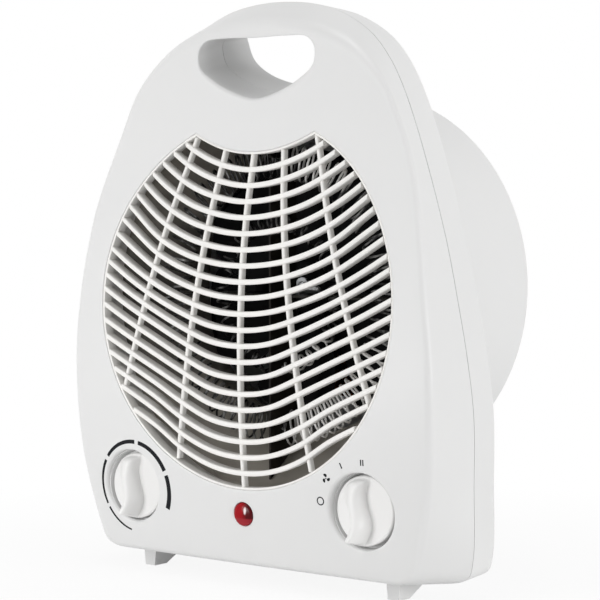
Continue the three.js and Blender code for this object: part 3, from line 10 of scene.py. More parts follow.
import bmesh
import bpy
import numpy as np
from mathutils import Matrix, Vector


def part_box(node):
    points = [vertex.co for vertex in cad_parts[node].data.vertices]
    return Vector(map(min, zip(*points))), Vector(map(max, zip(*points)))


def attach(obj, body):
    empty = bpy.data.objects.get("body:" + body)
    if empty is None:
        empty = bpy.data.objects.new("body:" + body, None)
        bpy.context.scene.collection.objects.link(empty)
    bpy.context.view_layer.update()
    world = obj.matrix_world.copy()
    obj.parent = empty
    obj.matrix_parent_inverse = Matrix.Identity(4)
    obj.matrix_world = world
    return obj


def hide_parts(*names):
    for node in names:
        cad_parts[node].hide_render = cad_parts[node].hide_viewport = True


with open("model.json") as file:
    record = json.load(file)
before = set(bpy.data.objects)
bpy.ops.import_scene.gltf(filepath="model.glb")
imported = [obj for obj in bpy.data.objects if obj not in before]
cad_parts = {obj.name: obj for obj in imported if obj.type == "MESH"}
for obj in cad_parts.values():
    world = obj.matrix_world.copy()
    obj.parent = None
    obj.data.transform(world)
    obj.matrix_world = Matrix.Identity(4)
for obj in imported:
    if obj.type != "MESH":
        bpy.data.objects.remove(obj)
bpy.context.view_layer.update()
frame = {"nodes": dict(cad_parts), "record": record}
print("nodes in the frame:", len(frame["nodes"]))

# %% [markdown]
# ## Measures
# The CAD model was drawn in millimetres: x to the right, depth from the foremost point of the dome backwards, and
# height from the shell's underside. One small function turns such a place into metres in the shared frame, so the
# numbers below read like a drawing. The shift is measured on the frame, because the drum's back is a known depth.

# %% Places in millimetres
FOOT_HEIGHT = 8.3
DRUM_BACK_DEPTH = 96.2
DEPTH_SHIFT = DRUM_BACK_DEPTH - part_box("rear_housing")[1].y * 1000


def to_frame(points):
    """Millimetres (x, depth, height) as metres in the frame."""
    shifted = np.asarray(points, float) + (0, -DEPTH_SHIFT, FOOT_HEIGHT)
    return shifted / 1000


print("depth shift", round(DEPTH_SHIFT, 3), "mm")

# %% Measures of the housing
WALL = 2.5
BODY_HALF_WIDTH, BODY_HEIGHT = 100.77, 241
FACE_HALF_WIDTH, FACE_HEIGHT = 97, 232
SEAM_DEPTH, PLATE_DEPTH = 28.5, 47
SEAM_GAP = 0.3
OUTLET_HEIGHT, OUTLET_RADIUS = 112.7, 79.2
SMILE_RISE, SMILE_RADIUS = 64.1, 63.1
DRUM_RADIUS, DRUM_HEIGHT = 85.3, 118.4
KNOB_OFFSET, KNOB_HEIGHT = 62.9, 29.4
RECESS_RADIUS, RECESS_FLOOR_RADIUS, RECESS_FLOOR_DEPTH = 16.5, 15.4, 10.1
LAMP_HEIGHT, LAMP_RADIUS = 23, 5.24
HAND_DEPTH, HAND_HALF_WIDTH, HAND_OPENING, HAND_BAR = 12.9, 31.6, 26.4, 15

# Right halves of the outlines from bottom to top, as shares of half the width and of the height
face_outline = [
    (0, 0.002), (0.472, 0.002), (0.776, 0.002), (0.858, 0.0145), (0.9, 0.054), (0.977, 0.181),
    (1, 0.31), (0.998, 0.401), (0.973, 0.503), (0.943, 0.588), (0.912, 0.658), (0.86, 0.733),
    (0.789, 0.806), (0.697, 0.881), (0.592, 0.929), (0.466, 0.963), (0.262, 0.989), (0, 1),
]
body_outline = [
    (0, 0), (0.499, 0), (0.893, 0), (0.974, 0.013), (0.999, 0.05), (1, 0.166),
    (0.998, 0.282), (0.966, 0.382), (0.918, 0.481), (0.871, 0.568), (0.826, 0.635), (0.773, 0.705),
    (0.714, 0.776), (0.649, 0.842), (0.579, 0.894), (0.474, 0.942), (0.274, 0.985), (0, 1),
]
handle_outline = [
    (0, 0), (0.437, 0.125), (0.747, 0.303), (0.955, 0.489), (1, 0.65),
    (0.98, 0.81), (0.86, 0.94), (0.55, 0.97), (0, 0.96),
]
rear_handle_outline = [
    (0, 0), (0.437, 0.11), (0.76, 0.3), (0.94, 0.5), (1.03, 0.75),
    (1.06, 0.9), (0.98, 0.97), (0.6, 0.98), (0, 0.97),
]
print("outline points:", len(face_outline), len(body_outline), len(handle_outline))

# %% [markdown]
# ## The panel's curve
# The face of the heater is no plane: it domes about the middle of the outlet and turns into a flat brow under the
# handle. A formula gives its depth anywhere, so the grille, the recesses and the printing can all follow it.

# %% The panel's depth at a place
DOME_ACROSS, DOME_LEAN, DOME_UP, DOME_CUBIC = 3600, 0.05255, 742, 580
BROW_DEPTH, BROW_LEAN, BROW_RISE = 11.3, 0.02, 71.3
BLEND, BLEND_CUT = 3, 0.75


def panel_depth(x, height):
    """How far back the front panel lies: a dome that turns into a flat brow near the top."""
    rise = height - OUTLET_HEIGHT
    dome = x**2 / DOME_ACROSS + DOME_LEAN * rise + rise**2 / DOME_UP + rise**3 / DOME_CUBIC**2
    brow = BROW_DEPTH + BROW_LEAN * (rise - BROW_RISE)
    near = np.maximum(BLEND - np.abs(dome - brow), 0) / BLEND
    return np.where(rise <= 0, dome, np.minimum(dome, brow) - near**2 * BLEND_CUT)


print("panel depth at the knobs:", round(float(panel_depth(KNOB_OFFSET, KNOB_HEIGHT)), 2), "mm")


# %% [markdown]
# ## The camera
# The photograph was taken from the right and a little above, through a long lens. The place of the camera was fitted
# to the outline, the knobs and the slats, so it is typed in as measured.

# %% Camera
def in_scene(name, data):
    obj = bpy.data.objects.new(name, data)
    bpy.context.scene.collection.objects.link(obj)
    return obj


CAMERA_PLACE, LENS, SENSOR = (573.6, -691.38, 162.9), 128.07, 36
back = Vector((0.6147, -0.7871, 0.0540)).normalized()
right = Vector((0, 0, 1)).cross(back).normalized()
up = back.cross(right)
camera_data = bpy.data.cameras.new("photo_camera")
camera_data.lens = LENS
camera_data.sensor_width = SENSOR
camera = in_scene("photo_camera", camera_data)
turn = Matrix((right, up, back)).transposed().to_4x4()
camera.matrix_world = Matrix.Translation(to_frame(CAMERA_PLACE)) @ turn
bpy.context.scene.camera = camera
print("camera at", [round(v, 3) for v in camera.location])

# %% [markdown]
# ## Tools for making meshes
# Moulded, turned and bent things are all skins over a row of closed curves, so one loft serves for most pieces. Holes
# are cut with exact booleans, which keep the walls where the drawing has them.


# %% Angles and curves
def around(steps):
    return np.linspace(0, 2 * math.pi, steps, endpoint=False)


def quarter(steps):
    return np.linspace(0, math.pi / 2, steps)


def hermite(start, leave, end, arrive, t):
    """A smooth curve between two values with given slopes."""
    return (start * (2 * t**3 - 3 * t**2 + 1) + leave * (t**3 - 2 * t**2 + t)
            + end * (3 * t**2 - 2 * t**3) + arrive * (t**3 - t**2))


# %% Skins over rings
def add_mesh(name, points, faces, sharp=35):
    """A new object from millimetre points; edges steeper than the angle stay crisp."""
    mesh = bpy.data.meshes.new(name)
    mesh.from_pydata([tuple(p) for p in to_frame(points)], [], faces)
    mesh.validate()
    mesh.shade_smooth()
    mesh.set_sharp_from_angle(angle=math.radians(sharp))
    return in_scene(name, mesh)


def loft_faces(rings, count, closed_ends=True, endless=False, first=0):
    """Faces of a skin over rings of as many points each, stored one after the other."""
    faces = []
    for i in range(rings if endless else rings - 1):
        a, b = first + i * count, first + ((i + 1) % rings) * count
        faces += [(a + j, a + (j + 1) % count, b + (j + 1) % count, b + j) for j in range(count)]
    if closed_ends and not endless:
        faces.append(tuple(first + j for j in range(count))[::-1])
        faces.append(tuple(first + (rings - 1) * count + j for j in range(count)))
    return faces


def loft(name, rings, closed_ends=True, endless=False, sharp=35):
    rings = np.array(rings, float)
    faces = loft_faces(len(rings), rings.shape[1], closed_ends, endless)
    return add_mesh(name, rings.reshape(-1, 3), faces, sharp)


def add_skin(points, faces, rings, endless=False):
    """Adds a skin to the points and faces of a mesh that holds several."""
    faces += loft_faces(len(rings), len(rings[0]), endless=endless, first=len(points))
    points += [tuple(p) for ring in rings for p in ring]


def turned(name, profile, x=0, height=0, steps=96, sharp=35):
    """A body turned about a line of depth through (x, height) from a closed outline of radius and depth."""
    angles = around(steps)
    rings = [np.stack([x + r * np.cos(angles), np.full(steps, d), height + r * np.sin(angles)], 1) for r, d in profile]
    return loft(name, rings, sharp=sharp)


def plug(name, radius, front, back, x, height, steps):
    """A round bar, mostly used to cut a hole."""
    return turned(name, [(0.1, front), (radius, front), (radius, back), (0.1, back)], x, height, steps)


# %% Cutting and joining
def outward(obj):
    """Turns all faces of a closed mesh to look outwards."""
    work = bmesh.new()
    work.from_mesh(obj.data)
    bmesh.ops.recalc_face_normals(work, faces=work.faces)
    work.to_mesh(obj.data)
    work.free()
    return obj


def combine(obj, others, operation, sharp=35):
    """Cuts the others from the object, or joins them to it, and leaves plain geometry."""
    for other in others:
        outward(other)
        step = obj.modifiers.new(operation, "BOOLEAN")
        step.operation = operation
        step.solver = "EXACT"
        step.object = other
    graph = bpy.context.evaluated_depsgraph_get()
    mesh = bpy.data.meshes.new_from_object(obj.evaluated_get(graph))
    obj.modifiers.clear()
    obj.data = mesh
    for other in others:
        bpy.data.objects.remove(other)
    mesh.shade_smooth()
    mesh.set_sharp_from_angle(angle=math.radians(sharp))
    return obj


# %% [markdown]
# ## Tools for outlines
# A designer draws an outline with a few points and lets a spline run through them. This does the same, and moves the
# curve inwards where a wall or a round needs it.


# %% Outline helpers
def outline(shares, half_width, height, lift, steps):
    """A closed smooth curve through points given for its right half, from bottom to top."""
    right_half = [(x * half_width, lift + z * height) for x, z in shares]
    knots = np.array(right_half + [(-x, z) for x, z in right_half[-2:0:-1]])
    count = len(knots)
    points = []
    for i in range(steps):
        place = i * count / steps
        k, t = int(place), place - int(place)
        p = [knots[(k + j) % count] for j in (-1, 0, 1, 2)]
        gaps = [max(np.linalg.norm(p[j + 1] - p[j]) ** 0.5, 1e-4) for j in range(3)]
        leave = (p[1] - p[0]) / gaps[0] - (p[2] - p[0]) / (gaps[0] + gaps[1]) + (p[2] - p[1]) / gaps[1]
        arrive = (p[2] - p[1]) / gaps[1] - (p[3] - p[1]) / (gaps[1] + gaps[2]) + (p[3] - p[2]) / gaps[2]
        leave, arrive = leave * gaps[1], arrive * gaps[1]
        points.append(hermite(p[1], leave, p[2], arrive, t))
    points = np.array(points)
    points[:, 1] = np.maximum(points[:, 1], right_half[0][1])
    return points


def inset(ring, distance):
    """The closed curve moved inwards."""
    along = np.roll(ring, -1, 0) - np.roll(ring, 1, 0)
    along /= np.linalg.norm(along, axis=1)[:, None]
    return ring + np.stack([-along[:, 1], along[:, 0]], 1) * np.reshape(distance, (-1, 1))


def at_depth(ring, depth):
    return np.stack([ring[:, 0], np.broadcast_to(depth, len(ring)), ring[:, 1]], 1)


def on_panel(ring, behind=0.0):
    return at_depth(ring, panel_depth(*ring.T) + behind)


OUTLINE_STEPS = 300
face_edge = outline(face_outline, FACE_HALF_WIDTH, FACE_HEIGHT, 0, OUTLINE_STEPS)
body_edge = outline(body_outline, BODY_HALF_WIDTH, BODY_HEIGHT, 0, OUTLINE_STEPS)
print("face edge", face_edge.min(0).round(1), face_edge.max(0).round(1))

# %% [markdown]
# ## The front shell
# The real shell is one injection moulding. Its panel is a shallow dome with a flat brow, its edge is a soft round,
# and its side flares back to the seam. It could be sculpted with subdivision, but a moulding is drawn with exact
# curves, so it is lofted: rings over the panel, a few rings round the corner and one at the seam. The holes are cut
# afterwards with bodies whose mouths flare, which leaves the small rounds that catch the light.


# %% Skin of the front shell
def ease(t):
    t = np.clip(t, 0, 1)
    return t * t * (3 - 2 * t)


def edge_round(heights):
    """Radius of the panel's edge: crisp at the sides and softer over the crown."""
    return 3 + 2.5 * ease((heights - (FACE_HEIGHT - 35)) / 35)


def shrunk(ring, share):
    """The curve drawn together towards the middle of the outlet."""
    middle = (0, OUTLET_HEIGHT)
    return middle + (ring - middle) * share


def front_skin():
    radius = edge_round(face_edge[:, 1])
    start = inset(face_edge, radius)
    rings = [on_panel(shrunk(start, share)) for share in np.linspace(0.3, 1, 44)]
    crease = on_panel(face_edge)
    seam = at_depth(body_edge, SEAM_DEPTH - SEAM_GAP / 2)
    side = seam - crease
    finish = crease + side / np.linalg.norm(side, axis=1)[:, None] * radius[:, None]
    edge_start = rings[-1]
    for t in np.linspace(0, 1, 13)[1:]:
        rings.append(edge_start * (1 - t) ** 2 + crease * 2 * t * (1 - t) + finish * t**2)
    rings += [finish + (seam - finish) * t for t in (0.33, 0.67, 1)]
    return loft("front_shell", rings)


# %% Edges of the holes
MOUTH_MARGIN, MOUTH_LIFT = 1.02, 0.04  # how far a cutter's round goes past the face, so that it cuts clean


def flared_hole(name, ring, radius, back_depth, front=-6.0):
    """A cutter that follows the panel: straight walls behind, and a rounded mouth where it leaves the panel."""
    rings = [at_depth(inset(ring, -radius * MOUTH_MARGIN), front)]
    for angle in quarter(7):
        grown = radius * (1 - math.sin(angle))
        sunk = radius * (1 - math.cos(angle))
        rings.append(on_panel(inset(ring, -grown * MOUTH_MARGIN), sunk - MOUTH_LIFT))
    rings.append(at_depth(ring, back_depth))
    return loft(name, rings)


def circle(x, height, radius, steps=96):
    angles = around(steps)
    return np.stack([x + radius * np.cos(angles), height + radius * np.sin(angles)], 1)


def outlet_edge(grown=0.0, steps=40):
    """A circle whose top is cut off by a smile-shaped arc."""
    radius, sag = OUTLET_RADIUS + grown, SMILE_RISE + grown
    smile = SMILE_RADIUS - grown
    rise = math.sqrt(radius**2 + smile**2 + 2 * sag * smile) - smile
    reach = math.sqrt(radius**2 - rise**2)
    tip = math.atan2(rise, reach)
    angles = np.linspace(math.pi - tip, 2 * math.pi + tip, 4 * steps)
    arc = np.stack([radius * np.cos(angles), OUTLET_HEIGHT + radius * np.sin(angles)], 1)
    x = np.linspace(reach, -reach, steps + 2)[1:-1]
    return np.vstack([arc, np.stack([x, OUTLET_HEIGHT + sag + x**2 / (2 * smile)], 1)])


def hand_hole(depth, grown=0.0, steps=160):
    """The hand hole's edge at a depth; towards the rear it narrows, and its bar gets thinner."""
    t = (depth - HAND_DEPTH) / (PLATE_DEPTH - HAND_DEPTH)
    half, opening, bar = HAND_HALF_WIDTH - 1.6 * t, HAND_OPENING - 2 * t, HAND_BAR - 5 * t
    shares = np.array(handle_outline) * (1 - max(t, 0)) + np.array(rear_handle_outline) * max(t, 0)
    return inset(outline(shares.tolist(), half, opening, BODY_HEIGHT - bar - opening, steps), -grown)


def hand_at(depth, grown=0.0):
    return at_depth(hand_hole(depth, grown), depth)


def hand_round(steps=160):
    """Radius round the hand hole's mouth: nearly sharp above, soft below, where the fingers rest."""
    height = outline(handle_outline, 1, 1, 0, steps)[:, 1]
    return 0.5 + 1.5 * ease((0.8 - height) / 0.62)


# %% Cut the front shell
front_shell = outward(front_skin())
inner_face = inset(face_edge, WALL + 3)
hollow_rings = [on_panel(shrunk(inner_face, share), WALL) for share in np.linspace(0.5, 1, 12)]
hollow_rings.append(at_depth(inset(face_edge, WALL), panel_depth(*face_edge.T) + WALL + 3))
hollow_rings.append(at_depth(inset(body_edge, WALL), SEAM_DEPTH + 4))
hollow = outward(loft("hollow", hollow_rings))
sleeve = loft("sleeve", [hand_at(d, WALL) for d in (8, SEAM_DEPTH + 5)])
cups = [
    turned("cup", [(0.5, 0), (RECESS_RADIUS + WALL, 0), (RECESS_RADIUS + WALL, 5.1),
                   (RECESS_FLOOR_RADIUS + WALL, RECESS_FLOOR_DEPTH + WALL), (0.5, RECESS_FLOOR_DEPTH + WALL)],
           x, KNOB_HEIGHT)
    for x in (-KNOB_OFFSET, KNOB_OFFSET)
]
combine(hollow, [sleeve, *cups], "DIFFERENCE")

hand_rings = [hand_at(4, hand_round())]
for angle in quarter(9):
    ring = hand_hole(HAND_DEPTH, hand_round() * (1 - math.sin(angle)))
    hand_rings.append(on_panel(ring, hand_round() * (1 - math.cos(angle)) - MOUTH_LIFT))
hand_rings += [hand_at(d) for d in (20, SEAM_DEPTH + 4)]
cutters = [hollow, loft("hand", hand_rings), flared_hole("outlet", outlet_edge(), 0.5, 19)]
MOUTH_SHIFT, MOUTH_RISE = 0.7, 0.6
recess_steps = ((RECESS_RADIUS - 0.7, 5.5, 1), (15.6, 7.4, 0.6), (15.3, RECESS_FLOOR_DEPTH, 0.3))
for x in (-KNOB_OFFSET, KNOB_OFFSET):
    rim = circle(x - MOUTH_SHIFT, KNOB_HEIGHT + MOUTH_RISE, RECESS_RADIUS - 0.6)
    softness = 1.15 - 0.95 * np.cos(around(len(rim)) - 0.5)
    cutters += [flared_hole("recess", rim, softness, 6.5),
                loft("floor", [at_depth(circle(x - MOUTH_SHIFT * s, KNOB_HEIGHT + MOUTH_RISE * s, r), d)
                               for r, d, s in recess_steps]),
                plug("bush", 4.8, 0, 20, x, KNOB_HEIGHT, 24)]
cutters.append(flared_hole("lamp_hole", circle(0, LAMP_HEIGHT, LAMP_RADIUS, 48), 0.35, 12))
combine(front_shell, cutters, "DIFFERENCE", 32)
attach(front_shell, "housing")
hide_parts("front_housing")
print("front shell faces:", len(front_shell.data.polygons))

# %% [markdown]
# ## The outlet grille
# Twenty slats sag like smiles and five thin bars fan out behind their noses. They are taken as one moulding with the
# ring that lines the outlet. Each slat is a swept plate with a rounded nose; the sweep follows the curve
# that was measured on the photograph, and its front edge keeps to the dome.

# %% Form of the slats
SLAT_COUNT, SLAT_PITCH, TOP_SLAT_RISE = 20, 6.765, 56.5
SLAT_THICKNESS, SLAT_DEPTH = 2.5, 5
RING_WALL = 1.0

# Rise of every third slat from the top one down, at even steps outwards, as shares of the outlet's radius
slat_forms = np.array([
    (0, 0.027, 0.1, 0.221, 0.376, 0.551), (0, 0.02, 0.074, 0.175, 0.312, 0.463), (0, 0.014, 0.058, 0.142, 0.283, 0.43),
    (0, 0.016, 0.068, 0.142, 0.243, 0.362), (0, 0.021, 0.094, 0.181, 0.27, 0.37), (0, 0.023, 0.105, 0.193, 0.28, 0.37),
    (0, 0.022, 0.095, 0.215, 0.311, 0.4),
])


def slat_height(row, x):
    """Height of a slat's middle line: a smooth curve through its measured rises."""
    place = min(row / 3, 6)
    form = min(int(place), 5)
    rises = slat_forms[form] + (slat_forms[form + 1] - slat_forms[form]) * (place - form)
    reach = min(abs(x) / OUTLET_RADIUS, 1) * 5
    step = min(int(reach), 4)
    t = reach - step
    slopes = np.array([0, *((rises[2:] - rises[:-2]) / 2), rises[5] - rises[4]])
    rise = hermite(rises[step], slopes[step], rises[step + 1], slopes[step + 1], t)
    return OUTLET_HEIGHT + TOP_SLAT_RISE - row * SLAT_PITCH + rise * OUTLET_RADIUS


# %% Room in the outlet
def inside_ring(x, rise):
    room = SEAM_GAP + RING_WALL / 2
    return math.hypot(x, rise) < OUTLET_RADIUS - room and rise < SMILE_RISE - room + x**2 / (2 * SMILE_RADIUS)


def last_inside(far, allows):
    near = 0
    for _ in range(30):
        middle = (near + far) / 2
        near, far = (middle, far) if allows(middle) else (near, middle)
    return near


def rounded_section(half_front, half_back, length, nose, steps=6):
    """A plate's outline as (depth, rise) pairs with a rounded nose at depth 0."""
    angles = np.linspace(-math.pi / 2, math.pi / 2, 2 * steps + 1)
    points = [(nose * (1 - math.cos(a)), half_front * math.sin(a)) for a in angles]
    return points + [(length - 0.3, half_back), (length, half_back - 0.3), (length, 0.3 - half_back),
                     (length - 0.3, -half_back)]


# %% Slats
points, faces = [], []
for row in range(SLAT_COUNT):
    half = SLAT_THICKNESS / 2
    reach = last_inside(OUTLET_RADIUS, lambda x: all(
        inside_ring(x, slat_height(row, x) + edge - OUTLET_HEIGHT) for edge in (-half, half)))
    section = rounded_section(half * 0.9, half * 0.82, SLAT_DEPTH, 0.5)
    rings = []
    for x in np.linspace(-reach, reach, 61):
        height = slat_height(row, x)
        front = float(panel_depth(x, height))
        rings.append([(x, front + depth, height + rise) for depth, rise in section])
    add_skin(points, faces, rings)
print("slats:", SLAT_COUNT, "points:", len(points))

# %% Bars
inner_bar, outer_bar = (25.6, 0.1533, 10460), (54.3, 0.3138, 5200)
bars = ((0, 0, 10460, 0), (*inner_bar, 1), (*inner_bar, -1), (*outer_bar, 1), (*outer_bar, -1))
for offset, lean, radius, side in bars:
    def along(rise):
        return side * (offset - lean * rise + rise**2 / (2 * radius))

    def allows(rise):
        return all(inside_ring(along(rise) + edge, rise) for edge in (-1.5, 1.5))

    low, high = last_inside(-OUTLET_RADIUS, allows), last_inside(OUTLET_RADIUS, allows)
    section = rounded_section(1.0, 1.1, 2.8, 0.8)
    rings = []
    for rise in np.linspace(low, high, 33):
        x, height = along(rise), OUTLET_HEIGHT + rise
        front = float(panel_depth(x, height)) + 1
        rings.append([(x + across, front + depth, height) for depth, across in section])
    add_skin(points, faces, rings)
print("bars:", len(bars), "points:", len(points))


# %% The ring that lines the outlet
def ring_at(grown, depth=None, behind=0.0, up_to=18.0):
    edge = outlet_edge(grown)
    follows = np.minimum(panel_depth(*edge.T) + behind, up_to)
    return at_depth(edge, follows if depth is None else depth)


add_skin(points, faces, [
    ring_at(-0.4, behind=0.3), ring_at(-0.15, behind=0.35), ring_at(-0.03, behind=0.5), ring_at(-0.03, behind=2.7),
    ring_at(2.6, behind=4.7, up_to=14.7), ring_at(4, 15), ring_at(4, 18), ring_at(2.9, 18),
    ring_at(1.6, behind=6.3, up_to=15.9), ring_at(-1.1, behind=5), ring_at(-1.1, behind=0.7),
    ring_at(-1.0, behind=0.45), ring_at(-0.8, behind=0.35),
], endless=True)
outlet_grille = outward(add_mesh("outlet_grille", points, faces, 40))
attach(outlet_grille, "housing")
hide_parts("front_grille")
print("grille faces:", len(outlet_grille.data.polygons))

# %% [markdown]
# ## The rear shell
# Behind the seam the rear moulding carries on the flare, turns in at a flat rim and swells into the round drum of
# the fan. Union and cuts follow the way the mould is made.

# %% Rear skin and drum
rear_rings = [
    at_depth(body_edge, SEAM_DEPTH + SEAM_GAP / 2),
    *[at_depth(inset(body_edge, 1 * t), SEAM_DEPTH + (PLATE_DEPTH - 3 - SEAM_DEPTH) * t) for t in (0.5, 1)],
    *[at_depth(inset(body_edge, 1 + 3 * (1 - math.cos(a))), PLATE_DEPTH - 3 + 3 * math.sin(a))
      for a in quarter(7)[1:]],
]
rear_shell = outward(loft("rear_shell", rear_rings))
drum_profile = [(0.1, PLATE_DEPTH - WALL), (DRUM_RADIUS + 2, PLATE_DEPTH - WALL), (DRUM_RADIUS + 2, PLATE_DEPTH - 0.01),
                (DRUM_RADIUS + 0.8, PLATE_DEPTH + 0.8), (DRUM_RADIUS, PLATE_DEPTH + 3)]
drum_profile += [(DRUM_RADIUS - 4 * (1 - math.cos(a)), DRUM_BACK_DEPTH - 4 + 4 * math.sin(a))
                 for a in quarter(9)]
drum = turned("drum", drum_profile + [(0.1, DRUM_BACK_DEPTH)], 0, DRUM_HEIGHT, 192)


# %% Pedestal
def pedestal_block(name, grown, front, back, bottom, top, edge_round=0.0):
    half, radius = 55 + grown, 8
    corner = [(-math.cos(a) * radius, -math.sin(a) * radius) for a in quarter(10)]
    left = [(-half + radius + x, bottom + radius + z) for x, z in corner]
    shape = np.array(left + [(-x, z) for x, z in left[::-1]] + [(half, top), (-half, top)])[::-1]
    rings = [at_depth(shape, front), at_depth(shape, back - edge_round)]
    for a in quarter(6)[1:] if edge_round else []:
        small = shape.copy()
        small[:, 0] *= 1 - edge_round * (1 - math.cos(a)) / half
        small[:, 1] += edge_round * (1 - math.cos(a)) * (small[:, 1] < bottom + radius)
        rings.append(at_depth(small, back - edge_round + edge_round * math.sin(a)))
    return loft(name, rings)


combine(rear_shell, [drum, pedestal_block("pedestal", 0, 41.5, 85, 0, 48, 2)], "UNION", 32)

# %% Cut the rear shell
rear_hollow = outward(loft("rear_hollow", [at_depth(inset(body_edge, WALL), SEAM_DEPTH - 4),
                                           at_depth(inset(body_edge, 1 + WALL), PLATE_DEPTH - WALL)]))
combine(rear_hollow, [plug("bowl", DRUM_RADIUS - WALL, SEAM_DEPTH, 89.2, 0, DRUM_HEIGHT, 192),
                      pedestal_block("inner_pedestal", -WALL, SEAM_DEPTH, 85 - WALL, WALL, 48 - WALL)], "UNION")
sleeve_depths = (SEAM_DEPTH - 5, PLATE_DEPTH - WALL / 2)
combine(rear_hollow, [loft("rear_sleeve", [hand_at(d, WALL) for d in sleeve_depths])], "DIFFERENCE")
REAR_ROUND = 1.5
rear_hand = [hand_at(d) for d in (SEAM_DEPTH - 5, 40, PLATE_DEPTH - REAR_ROUND)]
for a in quarter(6)[1:]:
    edge = hand_hole(PLATE_DEPTH, REAR_ROUND * (1 - math.cos(a)) * MOUTH_MARGIN)
    rear_hand.append(at_depth(edge, PLATE_DEPTH - REAR_ROUND + REAR_ROUND * math.sin(a) * MOUTH_MARGIN))
rear_hand.append(at_depth(hand_hole(PLATE_DEPTH, 1.6), PLATE_DEPTH + 4))
screw_places = [(-81, 11.5), (81, 11.5), (-47, 210), (47, 210)]
combine(rear_shell, [
    rear_hollow,
    loft("rear_hand", rear_hand),
    plug("mouth", 71, SEAM_DEPTH, 100, 0, DRUM_HEIGHT, 192),
    turned("seat", [(0.1, 93.7), (76, 93.7), (76, 95.8), (76.6, 96.4), (76.6, 100), (0.1, 100)], 0, DRUM_HEIGHT, 192),
    plug("gland_hole", 6.3, 60, 90, 30, 16, 32),
    *[turned("sink", [(0.1, 33.5), (3.6, 33.5), (3.6, 46.5), (4.2, 47.1), (4.2, 52), (0.1, 52)], x, z, 40)
      for x, z in screw_places],
], "DIFFERENCE", 32)
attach(rear_shell, "housing")
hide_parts("rear_housing")
print("rear shell faces:", len(rear_shell.data.polygons))

# %% [markdown]
# ## Knobs
# Each knob is a disc whose face swells into an S-shaped grip: low and soft at the top, tall and steep where the thumb
# pushes. Disc and grip are one moulding, so it is made as one height field over the disc and not as two bodies.
# Each disc sits a little off the centre and deeper in its recess than in the CAD frame, as the photograph shows it; the
# left one lies nearer its axis, because its turn is long and it must clear the recess all round.

# %% Form of the grip
KNOB_RADIUS, KNOB_FACE = 14.4, 4.5
ridge_heights = (-15.4, -13, -10, -6.2, -2.9, 3.2, 7.3, 11, 14.5)
ridge_places = (-0.6, 0.9, 2.2, 3.2, 2.8, 0.7, 0.4, 1.4, 3)
ridge_foot = np.poly1d(np.polyfit(ridge_heights, ridge_places, 5))


def smooth(t):
    t = np.clip(t, 0, 1)
    return t * t * t * (t * (6 * t - 15) + 10)


def grip_height(x, z):
    """How far the grip stands out of the disc: steep on the right of its foot line, soft on the left."""
    low = np.clip((z + 15) / 29, 0, 1)
    crest = 3.9 + 5.4 * (1 - low) ** 1.2
    side = x - ridge_foot(np.clip(z, -15.4, 14.5))
    swell = 2.4 + 0.22 * crest
    across = (1 - np.clip((side + swell) / swell, 0, 1) ** 2) ** 0.75 * (1 - smooth((-side - swell) / (6 + 4 * low)))
    groove = (0.25 + 0.3 * low) * np.exp(-(((side - 0.5) / 1.2) ** 2)) * smooth((13.4 - z) / 3) * smooth((z + 13) / 6)
    ends = smooth((z + 15.7) / 3.4) * (1 - smooth((z - 10) / 5))
    return crest * across * ends - groove


# %% Knobs and spindles
def knob(name, node, body, x0, sunk, raised):
    steps = 240
    angles = around(steps)
    below = np.abs((angles - np.radians(262) + np.pi) % (2 * np.pi) - np.pi)
    reach = KNOB_RADIUS + 0.5 * np.exp(-((below / 0.3) ** 2))
    rings = [(reach, 9.8 - sunk, 0), (reach, KNOB_FACE + 1.2, 0)]
    for a in quarter(9)[1:]:
        rings.append((reach - 0.8 * (1 - math.cos(a)), KNOB_FACE + 0.8 * (1 - math.sin(a)), 0.55 * math.sin(a)))
    for share in np.linspace(0.94, 0.004, 72):
        rings.append((reach * share, KNOB_FACE + 0.3 * (1 - share**2), 0.55 + 0.45 * smooth((0.94 - share) / 0.1)))
    points = []
    for radius, depth, share in rings:
        x, z = radius * np.cos(angles), radius * np.sin(angles)
        lift = grip_height(x, z) * share
        points.append(np.stack([x0 + x, depth - lift + sunk, KNOB_HEIGHT + raised + z], 1))
    made = outward(loft(name, points, sharp=70))
    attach(made, body)
    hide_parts(node)
    return made


def fine_spindle(name, node, body, x, sunk, slot):
    tip, end = KNOB_FACE + sunk + 2.6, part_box(node)[1].y * 1000 + DEPTH_SHIFT
    profile = [(0.05, tip), (2.5, tip), (3, tip + 0.5), (3, end - 0.3), (2.7, end), (0.05, end)]
    made = outward(turned(name, profile, x, KNOB_HEIGHT, 48))
    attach(made, body)
    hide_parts(node)
    return made


LEFT_SUNK, RIGHT_SUNK = 1.9, 0.9
LEFT_RAISED, RIGHT_RAISED = 0.3, 0.8
left, right_side = (-KNOB_OFFSET, LEFT_SUNK), (KNOB_OFFSET, RIGHT_SUNK)
thermostat_dial = knob("thermostat_dial_knob", "thermostat_knob", "thermostat_dial", *left, LEFT_RAISED)
switch_dial = knob("switch_dial_knob", "switch_knob", "switch_dial", *right_side, RIGHT_RAISED)
thermostat_spindle = fine_spindle("brass_spindle", "thermostat_spindle", "thermostat_dial", *left, "brass")
switch_spindle = fine_spindle("nylon_spindle", "switch_spindle", "switch_dial", *right_side, "pale_plastic")
print("knob faces:", len(switch_dial.data.polygons))

# %% [markdown]
# ## Printed marks
# The marks are printed: a dark ring in five pieces that widens with the heat, and the switch's stages off, fan, one
# and two. Each is a film a twentieth of a millimetre thick that lies on the dome.

# %% Ink films
INK = 0.05


